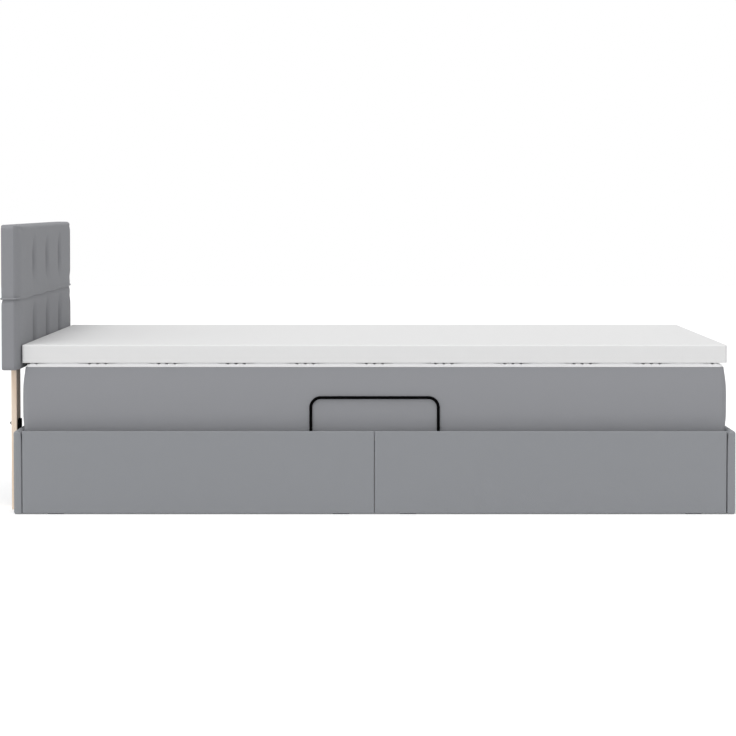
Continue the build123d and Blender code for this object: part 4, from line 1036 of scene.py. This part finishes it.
# %% Headboard rows
HEAD_AIR_CAP = 1.8 * MM
EDGE_FIRM = 40 * MM
HEAD_UNEVEN, HEAD_WAVES = 0.5 * MM, (6.0, 6.0, 6.0)
SEWN_STRENGTH = 0.1
SEWN_HALF = 1 * MM
AT_FRONT, AT_BACK = 0.9, 0.05
# Painted shade round each seam: its half width across the headboard.
SEAM_SHADE_HALF = 24 * MM
# Painted shade on the lower row: how much darker it gets away from its near edge, and over what reach.
LOWER_PAINTED_SHADE = 0.22
LOWER_PAINTED_SHADE_REACH = 300 * MM


def headboard_row(name, z_low, z_high, rim, replaced, seed):
    """One row: rim is 1 when its free edge is at the top, and -1 when it is at the bottom."""
    points, faces, low, high, forward = row_block(z_low, z_high)
    share = (points[:, Z] - z_low) / (z_high - z_low)
    pull, strength = tuft_pull(points[:, Y], share, UPPER_REACH_SHARE if rim > 0 else LOWER_REACH_SHARE)
    sewn = (strength > SEWN_STRENGTH) & (from_seam(points[:, Y]) < SEWN_HALF) & (forward > AT_FRONT)
    from_welt = np.abs(points[:, Z] - welt_z) - WELT_HALF
    shape_row(points, low, high, forward, share, pull, from_welt, rim)
    piece = new_piece(name, points, faces)
    held = (forward < AT_BACK) | (from_welt < WELT_REACH)
    firm = smooth_step((head_half - np.abs(points[:, Y])) / EDGE_FIRM)
    fill_with_air(piece, sewn | held, HEAD_AIR_CAP, forward * firm)
    filled = points_of(piece.data)
    uneven = HEAD_UNEVEN * slow_noise(points, HEAD_WAVES, seed) * forward
    filled[:, X] = np.minimum(filled[:, X] + uneven, front_limit)
    put_points(piece.data, filled)
    # Painted shade written on the mesh: darker at the seams, and on the lower row darker away from its near
    # edge.
    shade = strength * hump(from_seam(points[:, Y]), SEAM_SHADE_HALF)
    if rim < 0:
        shade += LOWER_PAINTED_SHADE * smooth_step((points[:, Y] + head_half) / LOWER_PAINTED_SHADE_REACH)
    painted_shade = piece.data.attributes.new(PAINTED_SHADE_ATTRIBUTE, "FLOAT", "POINT")
    painted_shade.data.foreach_set("value", shade * forward)
    return finish_piece(piece, "headboard_fabric", "base", replaced)


headboard_row("headboard_row_upper", welt_z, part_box("headboard_pad_upper")[1].z, 1,
              ["headboard_pad_upper", "headboard_pad_back"], seed=31)
headboard_row("headboard_row_lower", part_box("headboard_pad_lower")[0].z, welt_z, -1,
              ["headboard_pad_lower"], seed=32)

# %% [markdown]
# ## The welt
# A strip of cloth folded over a thin cord and sewn in between the two rows. It follows the outline of
# the headboard, a little proud of it at the sides and the back, but not past the rows' front, where the
# bedding moves. It rises at the seams. It is drawn as rings round its path, which is the outline of the
# rows at that height.

# %% Path of the welt
WELT_RADIUS = 2.6 * MM
WELT_OUT = 0.8 * MM
WELT_STEP = 8 * MM
CORNER_STEPS = 6


def welt_path():
    """Closed path round the headboard at the welt's height, with round corners."""
    x0, x1 = pad_back.x - WELT_OUT, front_limit - WELT_RADIUS
    half = head_half + WELT_OUT
    corners = [(x1, half, HEAD_FRONT_EDGE, 0), (x0, half, HEAD_BACK_EDGE, 90),
               (x0, -half, HEAD_BACK_EDGE, 180), (x1, -half, HEAD_FRONT_EDGE, 270)]
    path = []
    for x, y, radius, start in corners:
        inward_x = -1 if x == x1 else 1
        inward_y = -1 if y > 0 else 1
        for i in range(CORNER_STEPS + 1):
            angle = math.radians(start + 90 * i / CORNER_STEPS)
            path.append((x + inward_x * radius + radius * math.cos(angle),
                         y + inward_y * radius + radius * math.sin(angle)))
    dense = []
    for (xa, ya), (xb, yb) in zip(path, path[1:] + path[:1]):
        count = max(1, round(math.hypot(xb - xa, yb - ya) / WELT_STEP))
        dense += [(xa + (xb - xa) * i / count, ya + (yb - ya) * i / count) for i in range(count)]
    return np.array(dense)


print("the welt's path has", len(welt_path()), "points")

# %% Welt
WELT_SIDES = 10
WELT_FALL_SHARE = 0.4


def welt():
    path = welt_path()
    ahead = np.roll(path, -1, axis=0) - np.roll(path, 1, axis=0)
    ahead /= np.linalg.norm(ahead, axis=1)[:, None]
    outward = np.stack((ahead[:, 1], -ahead[:, 0]), axis=1)
    front = front_share(path[:, 0])
    wave = WELT_WAVE * seam_wave(path[:, 1]) * front
    fall = WELT_FALL_SHARE * side_fall(path[:, 1]) * front
    points = []
    for i, (x, y) in enumerate(path):
        for k in range(WELT_SIDES):
            angle = 2 * math.pi * k / WELT_SIDES
            reach = WELT_RADIUS * math.cos(angle)
            points.append((x + outward[i, 0] * reach - fall[i], y + outward[i, 1] * reach,
                           welt_z + WELT_RADIUS * math.sin(angle) + wave[i]))
    count = len(path)
    faces = []
    for i in range(count):
        a, b = i * WELT_SIDES, ((i + 1) % count) * WELT_SIDES
        for k in range(WELT_SIDES):
            after = (k + 1) % WELT_SIDES
            faces.append((a + k, b + k, b + after, a + after))
    piece = new_piece("headboard_welt_cord", points, faces)
    return finish_piece(piece, "headboard_fabric", "base", ["headboard_welt"])


welt()

# %% [markdown]
# ## World
# The photograph shows the bed on plain white. The world lights it evenly, at a level at which a colour
# renders as it is written together with the two suns below. For the camera, and for what mirrors and
# glass would show, the same world is plain white.

# %% World
WHITE = (1.0, 1.0, 1.0, 1.0)
WORLD_LEVEL = 0.645


def ray_mask(tree):
    """1 for rays that the eye follows: straight, mirrored or through glass."""
    rays = tree.nodes.new("ShaderNodeLightPath")
    seen = math_node(tree, "ADD", rays.outputs["Is Camera Ray"], rays.outputs["Is Glossy Ray"], clamp=True)
    return math_node(tree, "ADD", seen, rays.outputs["Is Transmission Ray"], clamp=True)


world = bpy.data.worlds.new("white studio")
world.use_nodes = True
bpy.context.scene.world = world
tree = world.node_tree
tree.nodes.clear()
lighting = add_node(tree, "ShaderNodeBackground", {"Color": WHITE, "Strength": WORLD_LEVEL})
backdrop = add_node(tree, "ShaderNodeBackground", {"Color": WHITE, "Strength": 1.0})
choice = add_node(tree, "ShaderNodeMixShader", {0: ray_mask(tree), 1: lighting.outputs[0],
                                                2: backdrop.outputs[0]})
add_node(tree, "ShaderNodeOutputWorld", {"Surface": choice.outputs[0]})
print("world level:", WORLD_LEVEL)

# %% [markdown]
# ## Two suns
# A wide soft sun from above makes the tops the lightest faces. A weaker and wider one, almost level, from
# the front and left, lights the near side and reaches under the topper and the headboard.

# %% Suns
def soft_sun(name, energy, from_top, from_left, spread):
    """A large soft light. Its angles in degrees count from straight above, and from the camera's side."""
    data = bpy.data.lights.new(name, "SUN")
    data.energy = energy
    data.angle = math.radians(spread)
    sun = bpy.data.objects.new(name, data)
    sun.rotation_euler = (math.radians(from_top), 0, math.radians(-from_left))
    bpy.context.scene.collection.objects.link(sun)


soft_sun("key light", energy=1.1, from_top=20, from_left=20, spread=40)
soft_sun("fill light", energy=0.60, from_top=80, from_left=35, spread=60)
print("suns:", [light.name for light in bpy.data.lights])

# %% [markdown]
# ## Floor
# The floor is as white as it can be to the eye while it still takes the shadow: a white colour with a
# weak glow of its own. For light that bounces on towards the bed it is a plain pale grey without the
# glow, so it doesn't light the bed from below more than a real floor would.

# %% Floor
FLOOR_HALF = 14.0
FLOOR_GREY = (0.8, 0.8, 0.8, 1.0)
FLOOR_GLOW = (0.16, 0.16, 0.16, 1.0)
NO_GLOW = (0.0, 0.0, 0.0, 1.0)

floor_mesh = bpy.data.meshes.new("floor")
floor_corners = [(-FLOOR_HALF, -FLOOR_HALF, 0), (FLOOR_HALF, -FLOOR_HALF, 0),
                 (FLOOR_HALF, FLOOR_HALF, 0), (-FLOOR_HALF, FLOOR_HALF, 0)]
floor_mesh.from_pydata(floor_corners, [], [(0, 1, 2, 3)])
floor = bpy.data.objects.new("floor", floor_mesh)
bpy.context.scene.collection.objects.link(floor)
floor_material, tree, shader = new_material("white floor", Roughness=1.0, Specular_IOR_Level=0.0)
seen = ray_mask(tree)
tree.links.new(blend_colours(tree, seen, FLOOR_GREY, WHITE), shader.inputs["Base Color"])
tree.links.new(blend_colours(tree, seen, NO_GLOW, FLOOR_GLOW), shader.inputs["Emission Color"])
shader.inputs["Emission Strength"].default_value = 1.0
floor.data.materials.append(floor_material)

bpy.context.scene.view_settings.view_transform = "Standard"
print("stage ready")
